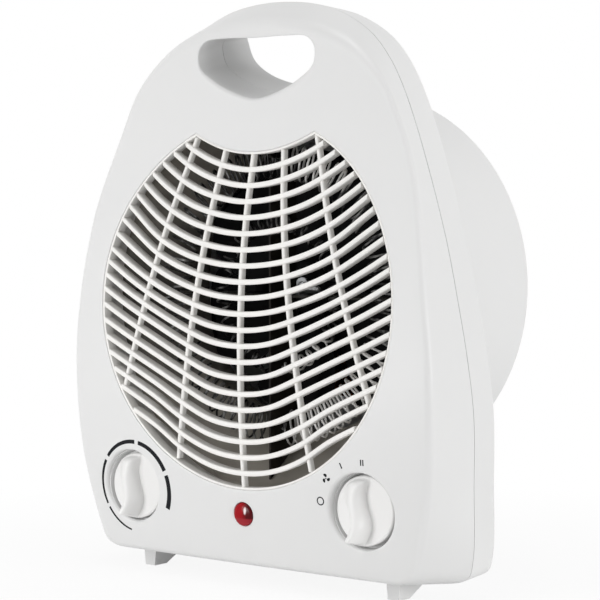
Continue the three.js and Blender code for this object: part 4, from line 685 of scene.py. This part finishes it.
def film(points, faces, outer, inner):
    """Adds a strip between two runs of (x, height) points, lying on the panel with the ink's thickness."""
    first = len(points)
    for run, set_off in ((outer, -INK), (inner, -INK), (inner, 0.02), (outer, 0.02)):
        points += [(x, float(panel_depth(x, z)) + set_off, z) for x, z in run]
    count = len(outer)
    for a in range(4):
        b = (a + 1) % 4
        for j in range(count - 1):
            near, far = first + a * count + j, first + b * count + j
            faces.append((near, near + 1, far + 1, far))
    faces.append(tuple(first + a * count for a in range(4)))
    faces.append(tuple(first + a * count + count - 1 for a in range(4))[::-1])


def arc_run(centre, radius, turns):
    return [(centre[0] + r * math.cos(a), centre[1] + r * math.sin(a)) for a, r in zip(turns, radius)]


def round_film(centre, outer, inner, steps):
    turns = np.linspace(0, 2 * np.pi, steps)
    film(points, faces, arc_run(centre, [outer] * steps, turns), arc_run(centre, [inner] * steps, turns))


# %% Marks
points, faces = [], []
dial = (-KNOB_OFFSET + 0.7, KNOB_HEIGHT - 0.2)
RING_RADIUS, RING_START, RING_SWEEP = 20.3, 257, 280.5
for start, end in ((257, 211.5), (206.5, 148), (141.5, 86.5), (80.5, 25.5), (19.5, -23.5)):
    turns = np.radians(np.linspace(start, end, 40))
    width = 0.75 + 1.7 * (RING_START - np.degrees(turns)) / RING_SWEEP
    film(points, faces, arc_run(dial, RING_RADIUS + width / 2, turns), arc_run(dial, RING_RADIUS - width / 2, turns))


def placed(x, z, spot, tilt=0.0):
    c, s = math.cos(tilt), math.sin(tilt)
    return (KNOB_OFFSET + spot[0] + x * c - z * s, KNOB_HEIGHT + spot[1] + x * s + z * c)


round_film((KNOB_OFFSET - 21.2, KNOB_HEIGHT + 3.1), 1.85, 1.35, 49)
for spot, tilt in (((-9.9, 18.8), math.radians(24)), ((0.1, 20.8), 0.0), ((1.2, 20.8), 0.0)):
    film(points, faces, *[[placed(x, z, spot, tilt) for z in (-1.25, 0, 1.25)] for x in (-0.27, 0.27)])
FAN_MARK = (-17.7, 12.9)
for k in range(3):
    outer, inner = [], []
    for s in np.linspace(0, 1, 9):
        reach, turn = 0.55 + 1.5 * s, math.radians(90 + 120 * k + 26 * s)
        half = 0.86 * math.sqrt(max(1 - (2 * s - 1) ** 2, 0.04)) * (0.7 + 0.3 * s)
        outer.append(placed(reach, half, FAN_MARK, turn))
        inner.append(placed(reach, -half, FAN_MARK, turn))
    film(points, faces, outer, inner)
round_film((KNOB_OFFSET + FAN_MARK[0], KNOB_HEIGHT + FAN_MARK[1]), 0.3, 0.02, 13)
marks = outward(add_mesh("printed_marks", points, faces, 40))
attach(marks, "housing")
print("mark faces:", len(marks.data.polygons))

# %% [markdown]
# ## The pilot lamp
# A pilot lamp sits behind a small red lens. The lens is taken as clear red plastic with flat facets, so it is shaded
# flat.

# %% Lens
lens_rings = [at_depth(circle(0, LAMP_HEIGHT, radius, 16), depth) for radius, depth in (
    (0.05, 12.5), (3.9, 12.5), (3.9, 8.4), (5.15, 8.4), (5.15, 4.3), (4.9, 3.7), (4.1, 3.25), (2.7, 2.98), (1.1, 2.9))]
lens = outward(loft("red_lens", lens_rings, sharp=12))
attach(lens, "housing")
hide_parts("pilot_lamp_lens")
print("lens faces:", len(lens.data.polygons))

# %% [markdown]
# ## Behind the slats
# A sheet funnel leads the air from the fan to the outlet. Two mica boards cross in it and carry the heating wire, which
# is wound as a fine coil about two rings. The coil is a tube swept along a helix that itself runs round a circle.


# %% Duct
FUNNEL_FRONT, FUNNEL_THROAT, FUNNEL_BACK = 18.3, 46, 58
MOUTH_RADIUS, THROAT_RADIUS = 81, 65.5
SHEET, FLANGE = 0.8, 4


def funnel(depth, grown=0.0, steps=120):
    t = min(max((depth - FUNNEL_FRONT) / (FUNNEL_THROAT - FUNNEL_FRONT), 0), 1)
    height = OUTLET_HEIGHT + (DRUM_HEIGHT - OUTLET_HEIGHT) * t
    return at_depth(circle(0, height, MOUTH_RADIUS + (THROAT_RADIUS - MOUTH_RADIUS) * t + grown, steps), depth)


flange_back = FUNNEL_FRONT + SHEET
duct_rings = [funnel(FUNNEL_FRONT, FLANGE), funnel(FUNNEL_FRONT, -SHEET)]
duct_rings += [funnel(d, -SHEET) for d in np.linspace(FUNNEL_FRONT, FUNNEL_THROAT, 8)[1:]]
duct_rings += [funnel(FUNNEL_BACK, -SHEET), funnel(FUNNEL_BACK)]
duct_rings += [funnel(d) for d in np.linspace(FUNNEL_THROAT, flange_back, 8)]
duct_rings += [at_depth(funnel(FUNNEL_FRONT, FLANGE)[:, [0, 2]], flange_back)]
duct = outward(loft("duct", duct_rings, endless=True))
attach(duct, "housing")
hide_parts("heat_shield")
print("duct faces:", len(duct.data.polygons))

# %% Heating coils
COIL_DEPTH = 28.0
BOARD_MIDDLE_DEPTH = 31
board_share = (BOARD_MIDDLE_DEPTH - FUNNEL_FRONT) / (FUNNEL_THROAT - FUNNEL_FRONT)
coil_height = OUTLET_HEIGHT + (DRUM_HEIGHT - OUTLET_HEIGHT) * board_share


def tube(points, radius, sides=6):
    """Rings of a round wire along a path."""
    path = np.asarray(points, float)
    along = np.gradient(path, axis=0)
    along /= np.linalg.norm(along, axis=1)[:, None]
    normal = np.cross(along[0], (0.3, 0.9, 0.2))
    rings = []
    for place, way in zip(path, along):
        normal = normal - way * (normal @ way)
        normal /= np.linalg.norm(normal)
        other = np.cross(way, normal)
        turns = around(sides)
        rings.append(place + radius * (np.outer(np.cos(turns), normal) + np.outer(np.sin(turns), other)))
    return rings


def wound_coil(name, node, ring_radius, curls, curl):
    """A fine coil round a ring, open below where its two ends meet the upright board."""
    edge = math.asin(1.9 / ring_radius)
    t = np.linspace(0, 1, curls * 14 + 1)
    angle = -np.pi / 2 + edge + (2 * np.pi - 2 * edge) * t
    turn = 2 * np.pi * curls * t
    swell = np.minimum(1, np.minimum(t, 1 - t) * curls)
    reach = ring_radius + curl * swell * np.cos(turn)
    depth = COIL_DEPTH + 2.9 * swell * np.sin(turn)
    path = np.stack([reach * np.cos(angle), depth, coil_height + reach * np.sin(angle)], 1)
    coil = loft(name, tube(path, 0.5), sharp=60)
    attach(coil, "housing")
    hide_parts(node)
    return coil


outer_coil = wound_coil("outer_heating_coil", "heating_coil_outer", 57.5, 84, 7.5)
inner_coil = wound_coil("inner_heating_coil", "heating_coil_inner", 31, 40, 2.9)
print("coil faces:", len(outer_coil.data.polygons) + len(inner_coil.data.polygons))

# %% [markdown]
# ## The fan
# Six broad blades sweep back from a round hub and cover most of the drum's mouth. The photograph hardly shows them, so
# their form is a guess. Each blade is a twisted plate with a rounded edge, lofted from root to tip.

# %% Fan
BLADES, BLADE_ROOT, BLADE_LENGTH, BLADE_DEPTH, BLADE_SIDES = 6, 10.5, 49.4, 51, 20
hub_profile = [(0.05, 46.2), (9, 46), (10.4, 46.25), (11.5, 47.1), (12, 48.5), (12, 56), (10.6, 56), (10.6, 49),
               (2.6, 49), (2.6, 56), (0.05, 56)]
points, faces = [], []
add_skin(points, faces, [at_depth(circle(0, DRUM_HEIGHT, radius, 64), depth) for radius, depth in hub_profile])
for blade in range(BLADES):
    rings = []
    for t in np.linspace(0, 1, 15):
        rings.append([])
        radius = BLADE_ROOT + BLADE_LENGTH * t
        chord = (16 + 38 * t**0.85) * (1 - 0.35 * max(0, (t - 0.86) / 0.14) ** 2)
        pitch = math.asin(min(7.0 / chord, 1))
        for k in range(BLADE_SIDES):
            turn = 2 * np.pi * k / BLADE_SIDES
            u, v = 0.5 * math.cos(turn), 0.62 * math.sin(turn)
            across = u * chord * math.cos(pitch) - v * math.sin(pitch)
            camber = 0.9 * (1 - 4 * u * u) * t
            depth = BLADE_DEPTH + u * chord * math.sin(pitch) + v * math.cos(pitch) + camber
            angle = across / radius + 0.25 * t * t + 2 * np.pi * blade / BLADES
            rings[-1].append((radius * math.sin(angle), depth, DRUM_HEIGHT + radius * math.cos(angle)))
    add_skin(points, faces, rings)
fan_wheel = outward(add_mesh("fan_wheel", points, faces, 40))
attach(fan_wheel, "fan")
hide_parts("fan_impeller")
print("fan faces:", len(fan_wheel.data.polygons))

# %% [markdown]
# ## Soft edges on the plain pieces
# The pieces that stay as the CAD frame has them are exact but knife-edged. A small bevel, as every moulding and
# pressing has, gives them an edge that catches light.

# %% Bevels
finer = {
    "front_housing": front_shell, "front_grille": outlet_grille, "rear_housing": rear_shell,
    "thermostat_knob": thermostat_dial, "switch_knob": switch_dial, "pilot_lamp_lens": lens, "heat_shield": duct,
    "heating_coil_outer": outer_coil, "heating_coil_inner": inner_coil, "fan_impeller": fan_wheel,
    "thermostat_spindle": thermostat_spindle, "switch_spindle": switch_spindle,
}
bevels = {
    "front_foot_left": 0.7, "front_foot_right": 0.7, "rear_foot_left": 0.7, "rear_foot_right": 0.7,
    "rear_grille": 0.35, "cord_gland": 0.4,
}
for name, node in frame["nodes"].items():
    if name in finer:
        continue
    bevel = node.modifiers.new("soft_edge", "BEVEL")
    bevel.width = bevels.get(name, 0.2) / 1000
    bevel.segments = 3 if name in bevels else 2
    bevel.limit_method = "ANGLE"
    bevel.angle_limit = math.radians(35)
    bevel.use_clamp_overlap = True
print("bevelled pieces:", len(frame["nodes"]) - len(finer))

# %% [markdown]
# ## Finishes
# A moulding takes a very fine grain from its tool, and its gloss wanders a little over the piece. One node group makes
# both; each material takes them at its own strength.


# %% Node helpers
def with_inputs(node, **values):
    """Sets plain values by the names of the inputs, with _ for a space."""
    for name, value in values.items():
        node.inputs[name.replace("_", " ")].default_value = value
    return node


def object_point(tree):
    return tree.nodes.new("ShaderNodeTexCoord").outputs["Object"]


def noise(tree, vector, scale, detail):
    node = with_inputs(tree.nodes.new("ShaderNodeTexNoise"), Scale=scale, Detail=detail)
    tree.links.new(vector, node.inputs["Vector"])
    return node.outputs["Fac"]


def ramp(tree, low, high, low_at=0.3, high_at=0.7):
    node = tree.nodes.new("ShaderNodeValToRGB")
    node.color_ramp.elements[0].position, node.color_ramp.elements[0].color = low_at, (*low, 1)
    node.color_ramp.elements[1].position, node.color_ramp.elements[1].color = high_at, (*high, 1)
    return node


def spread(tree, low, high, low_at=0.3, high_at=0.7):
    node = tree.nodes.new("ShaderNodeMapRange")
    return with_inputs(node, From_Min=low_at, From_Max=high_at, To_Min=low, To_Max=high)


def through(tree, source, node, target=None):
    """Runs a source through a colour ramp or a range, and on to a target where one is named."""
    tree.links.new(source, node.inputs[0])
    if target:
        tree.links.new(node.outputs[0], target)
    return node.outputs[0]


def math_node(tree, operation, *entries, kind="ShaderNodeMath", leave="Value"):
    """A math node; each entry is an output to link or a plain value."""
    node = tree.nodes.new(kind)
    node.operation = operation
    for socket, entry in zip(node.inputs, entries):
        if isinstance(entry, bpy.types.NodeSocket):
            tree.links.new(entry, socket)
        else:
            socket.default_value = entry
    return node.outputs[leave]


def vector_node(tree, operation, *entries):
    leave = "Value" if operation == "LENGTH" else "Vector"
    return math_node(tree, operation, *entries, kind="ShaderNodeVectorMath", leave=leave)


def cells(tree, vector, scale):
    node = with_inputs(tree.nodes.new("ShaderNodeTexVoronoi"), Scale=scale)
    tree.links.new(vector, node.inputs["Vector"])
    return node.outputs["Distance"]


# %% Node group for a moulded surface
def moulded_group():
    group = bpy.data.node_groups.new("moulded_surface", "ShaderNodeTree")
    for name, way in (("Grain Scale", "INPUT"), ("Height", "OUTPUT"), ("Wander", "OUTPUT")):
        group.interface.new_socket(name=name, socket_type="NodeSocketFloat", in_out=way)
    entry, leave = group.nodes.new("NodeGroupInput"), group.nodes.new("NodeGroupOutput")
    place = object_point(group)
    grain = noise(group, place, 5, 3)
    group.links.new(entry.outputs["Grain Scale"], grain.node.inputs["Scale"])
    group.links.new(grain, leave.inputs["Height"])
    group.links.new(noise(group, place, 14, 2), leave.inputs["Wander"])
    return group


moulded = moulded_group()
print("node group:", moulded.name)


# %% Material helpers
def shader_of(name, **values):
    """A new material with its node tree and shader, whose named inputs get plain values."""
    made = bpy.data.materials.new(name)
    made.use_nodes = True
    tree = made.node_tree
    return made, tree, with_inputs(tree.nodes["Principled BSDF"], **values)


def surface_from(tree, shader, source, tone, gloss):
    """Colour and roughness of a surface from one source."""
    through(tree, source, tone, shader.inputs["Base Color"])
    through(tree, source, gloss, shader.inputs["Roughness"])


def relief(tree, shader, source, strength, distance):
    bump = with_inputs(tree.nodes.new("ShaderNodeBump"), Strength=strength, Distance=distance)
    tree.links.new(source, bump.inputs["Height"])
    tree.links.new(bump.outputs["Normal"], shader.inputs["Normal"])


def object_place(tree):
    """Where a point lies on the object, whole and as x, y and z."""
    place, parts = object_point(tree), tree.nodes.new("ShaderNodeSeparateXYZ")
    tree.links.new(place, parts.inputs["Vector"])
    return place, parts.outputs


# %% Plastic and metal
def moulded_plastic(name, color, darker, rough, grain_scale=1600, grain=0.04, shine=0.5):
    made, tree, shader = shader_of(name, Specular_IOR_Level=shine)
    surface = tree.nodes.new("ShaderNodeGroup")
    surface.node_tree = moulded
    surface.inputs["Grain Scale"].default_value = grain_scale
    surface_from(tree, shader, surface.outputs["Wander"], ramp(tree, darker, color),
                 spread(tree, rough - 0.04, rough + 0.05))
    relief(tree, shader, surface.outputs["Height"], 0.35, grain / 1000)
    return made


def brushed_metal(name, color, darker, rough, stretch=(40, 1600, 1600), anisotropic=0.4):
    made, tree, shader = shader_of(name, Metallic=1, Anisotropic=anisotropic)
    mapping = with_inputs(tree.nodes.new("ShaderNodeMapping"), Scale=stretch)
    tree.links.new(object_point(tree), mapping.inputs["Vector"])
    streaks = noise(tree, mapping.outputs["Vector"], 1, 4)
    surface_from(tree, shader, streaks, ramp(tree, darker, color), spread(tree, rough - 0.08, rough + 0.12))
    relief(tree, shader, streaks, 0.2, 0.00003)
    return made


# %% Wire, sheet and mica
def off_level(tree, z, raised, near, far):
    """A mask that grows above and below the coils' height, from near to far, in millimetres."""
    level = (coil_height + FOOT_HEIGHT + raised) / 1000
    distance = math_node(tree, "ABSOLUTE", math_node(tree, "SUBTRACT", z, level))
    return through(tree, distance, spread(tree, 0, 1, near / 1000, far / 1000))


def resistance_wire(name):
    """Drawn wire. Painted light makes it bright on the right, above and below the coils' level, and painted shade keeps
    it dark elsewhere, placed to match the photograph; a random grain of scale lies over it.
    """
    made, tree, shader = shader_of(name, Metallic=0.15)
    place, parts = object_place(tree)
    scale = noise(tree, place, 180, 3)
    # Painted light and shade: bright on the right away from the coils' level, dark elsewhere
    along = through(tree, parts["X"], spread(tree, 0, 1, 0.004, 0.026))
    bright = math_node(tree, "MULTIPLY", along, off_level(tree, parts["Z"], 14, 30, 42))
    painted_light_and_scale = math_node(tree, "ADD", bright, scale)
    through(tree, painted_light_and_scale, ramp(tree, (0.012, 0.0115, 0.011), (0.95, 0.94, 0.92), 0.5, 1), shader.inputs["Base Color"])
    through(tree, scale, spread(tree, 0.3, 0.5), shader.inputs["Roughness"])
    return made


def scaled_sheet_with_painted_shade(name):
    """Sheet steel of the duct, patched by heat. It is darker level with the coils and paler above and below them: that
    is painted shade, matched to the photograph.
    """
    made, tree, shader = shader_of(name, Metallic=0.35)
    place, parts = object_place(tree)
    patches = noise(tree, place, 45, 6)
    # Painted shade: the sheet is darker level with the coils and paler above and below them
    painted_light_off_level = off_level(tree, parts["Z"], -4, 22, 46)
    stain_and_painted_shade = math_node(tree, "MULTIPLY_ADD", painted_light_off_level, 0.5, patches)
    through(tree, stain_and_painted_shade, ramp(tree, (0.11, 0.102, 0.09), (0.46, 0.43, 0.385), 0.3, 1), shader.inputs["Base Color"])
    through(tree, patches, spread(tree, 0.38, 0.6), shader.inputs["Roughness"])
    relief(tree, shader, patches, 0.2, 0.0001)
    return made


def mica_board(name):
    """Pressed mica: brown flakes in thin layers, kept dark as in the photograph."""
    made, tree, shader = shader_of(name, Specular_IOR_Level=0.2)
    flakes = cells(tree, object_point(tree), 420)
    surface_from(tree, shader, flakes,
                 ramp(tree, (0.01, 0.0088, 0.007), (0.024, 0.021, 0.017), 0.1, 0.8),
                 spread(tree, 0.35, 0.7, 0.1, 0.8))
    return made


# %% Red lens
def mixed_colour(tree, factor, colour, other):
    mix = tree.nodes.new("ShaderNodeMix")
    mix.data_type = "RGBA"
    tree.links.new(factor, mix.inputs["Factor"])
    tree.links.new(colour, mix.inputs["A"])
    mix.inputs["B"].default_value = other
    return mix.outputs["Result"]


def red_glass(name):
    """Red plastic. Darker towards the top right is painted shade, the brighter low part is painted light and the small
    pale spot is a painted highlight, all painted by place as photographed.
    """
    made, tree, shader = shader_of(name, Specular_IOR_Level=0.12)
    place, parts = object_place(tree)
    middle = (LAMP_HEIGHT + FOOT_HEIGHT) / 1000
    # Painted light: the low part of the lens is brighter
    low = through(tree, parts["Z"], spread(tree, 1, 0, middle - 0.0021, middle - 0.0014))
    # Painted shade: the red darkens towards the right
    shade = through(tree, parts["X"], spread(tree, 0, 1, -0.0012, 0.0034))
    painted_shade_top = through(tree, shade, ramp(tree, (0.34, 0.0015, 0.007), (0.09, 0.001, 0.004), 0.2, 0.8))
    painted_light_and_shade = mixed_colour(tree, low, painted_shade_top, (0.33, 0.021, 0.03, 1))
    # Painted highlight: a small pale spot up and to the right of the middle
    spot = vector_node(tree, "SUBTRACT", place, (0.0016, 0, middle + 0.0016))
    squeezed = vector_node(tree, "MULTIPLY", spot, (1400, 0, 620))
    away = vector_node(tree, "LENGTH", squeezed)
    painted_glint = through(tree, away, spread(tree, 1, 0, 0.65, 1.15))
    tree.links.new(mixed_colour(tree, painted_glint, painted_light_and_shade, (0.9, 0.78, 0.78, 1)), shader.inputs["Base Color"])
    ribs = cells(tree, place, 700)
    through(tree, ribs, spread(tree, 0.08, 0.2, 0.0, 0.8), shader.inputs["Roughness"])
    relief(tree, shader, ribs, 0.15, 0.00005)
    return made


# %% Finishes by slot
finishes = {
    "shell": moulded_plastic("white_shell", (0.772, 0.772, 0.768), (0.757, 0.757, 0.754), 0.42),
    "grille": moulded_plastic("warm_white_grille", (0.9, 0.887, 0.862), (0.88, 0.866, 0.84), 0.4),
    "knob": moulded_plastic("knob_white", (0.835, 0.831, 0.821), (0.82, 0.815, 0.805), 0.36),
    "lamp": red_glass("red_lens"),
    "dark_plastic": moulded_plastic("black_plastic", (0.008, 0.008, 0.0085), (0.005, 0.005, 0.005), 0.55, 900, 0.06,
                                    shine=0.04),
    "pale_plastic": moulded_plastic("ivory_nylon", (0.62, 0.57, 0.48), (0.55, 0.5, 0.41), 0.5, 700, 0.08),
    "duct_sheet": scaled_sheet_with_painted_shade("heat_stained_sheet_with_painted_shade"),
    "mica": mica_board("mica_board"),
    "heating_wire": resistance_wire("resistance_wire"),
    "steel": brushed_metal("zinc_steel", (0.56, 0.57, 0.58), (0.42, 0.43, 0.44), 0.34),
    "core": brushed_metal("lamination_steel", (0.17, 0.17, 0.18), (0.09, 0.09, 0.1), 0.5, (60, 4200, 60), 0.0),
    "copper": brushed_metal("enamelled_copper", (0.5, 0.17, 0.06), (0.33, 0.1, 0.035), 0.3, (1500, 1500, 60), 0.2),
    "brass": brushed_metal("brass", (0.55, 0.36, 0.12), (0.42, 0.26, 0.08), 0.32),
}
ink = moulded_plastic("printing_ink", (0.0125, 0.0135, 0.016), (0.009, 0.0095, 0.0115), 0.6, 3000, 0.01, shine=0.1)


def dress(piece, finish):
    piece.data.materials.clear()
    piece.data.materials.append(finish)


for subpart in frame["record"]["subparts"]:
    name, finish = subpart["node"], finishes[subpart["material_slot"]]
    dress(frame["nodes"][name], finish)
    if name in finer:
        dress(finer[name], finish)
dress(marks, ink)
print("materials:", len(bpy.data.materials))

# %% [markdown]
# ## Table and light
# The picture is a shop photograph: white all round, with soft light from in front and above. The table and the world
# are white to the camera, while the light that they give the heater is kept lower, so that its own white keeps tone.


# %% Light path helper
def seen_directly(tree):
    """One where the camera, a reflection or a clear piece looks at the surface, and zero where light is gathered."""
    path = tree.nodes.new("ShaderNodeLightPath").outputs
    first = math_node(tree, "MAXIMUM", path["Is Camera Ray"], path["Is Glossy Ray"])
    return math_node(tree, "MAXIMUM", first, path["Is Transmission Ray"])


# %% World
world = bpy.data.worlds.new("studio")
bpy.context.scene.world = world
world.use_nodes = True
tree = world.node_tree
background = with_inputs(tree.nodes["Background"], Color=(1, 1, 1, 1))
through(tree, seen_directly(tree), spread(tree, 0.42, 1, 0, 1), background.inputs["Strength"])

# %% Table
floor_mesh = bpy.data.meshes.new("floor")
floor_mesh.from_pydata([(-4, -4, 0), (4, -4, 0), (4, 4, 0), (-4, 4, 0)], [], [(0, 1, 2, 3)])
floor = in_scene("floor", floor_mesh)
table, tree, matt = shader_of("white_table", Base_Color=(0.9, 0.9, 0.9, 1), Roughness=0.9)
bright = tree.nodes.new("ShaderNodeEmission")
length = vector_node(tree, "LENGTH", object_point(tree))
fade = through(tree, length, spread(tree, 0.9, 1.0, 0.1, 0.3))
mix = tree.nodes.new("ShaderNodeMixShader")
tree.links.new(math_node(tree, "MULTIPLY", seen_directly(tree), fade), mix.inputs["Fac"])
tree.links.new(matt.outputs[0], mix.inputs[1])
tree.links.new(bright.outputs[0], mix.inputs[2])
tree.links.new(mix.outputs[0], tree.nodes["Material Output"].inputs["Surface"])
floor.data.materials.append(table)
print("table laid, world set")


# %% Lights
def soft_box(name, place, target, width, height, watts):
    data = bpy.data.lights.new(name, "AREA")
    data.shape = "RECTANGLE"
    data.size, data.size_y = width, height
    data.energy = watts
    lamp = in_scene(name, data)
    lamp.location = place
    lamp.rotation_euler = (Vector(place) - Vector(target)).to_track_quat("Z", "Y").to_euler()


soft_box("key", (-0.85, -1.8, 0.72), (0, 0, 0.12), 0.9, 1.4, 12)
soft_box("side", (1.3, 0.05, 0.22), (0, 0, 0.12), 0.5, 0.4, 6.6)
soft_box("top", (0, -0.05, 1.3), (0, 0, 0.12), 0.5, 0.5, 3.3)
soft_box("low_front", (-0.2, -0.45, 0.04), (-0.03, 0, 0.02), 0.2, 0.06, 0.36)

bpy.context.scene.view_settings.view_transform = "Standard"
print("lights:", len(bpy.data.lights))
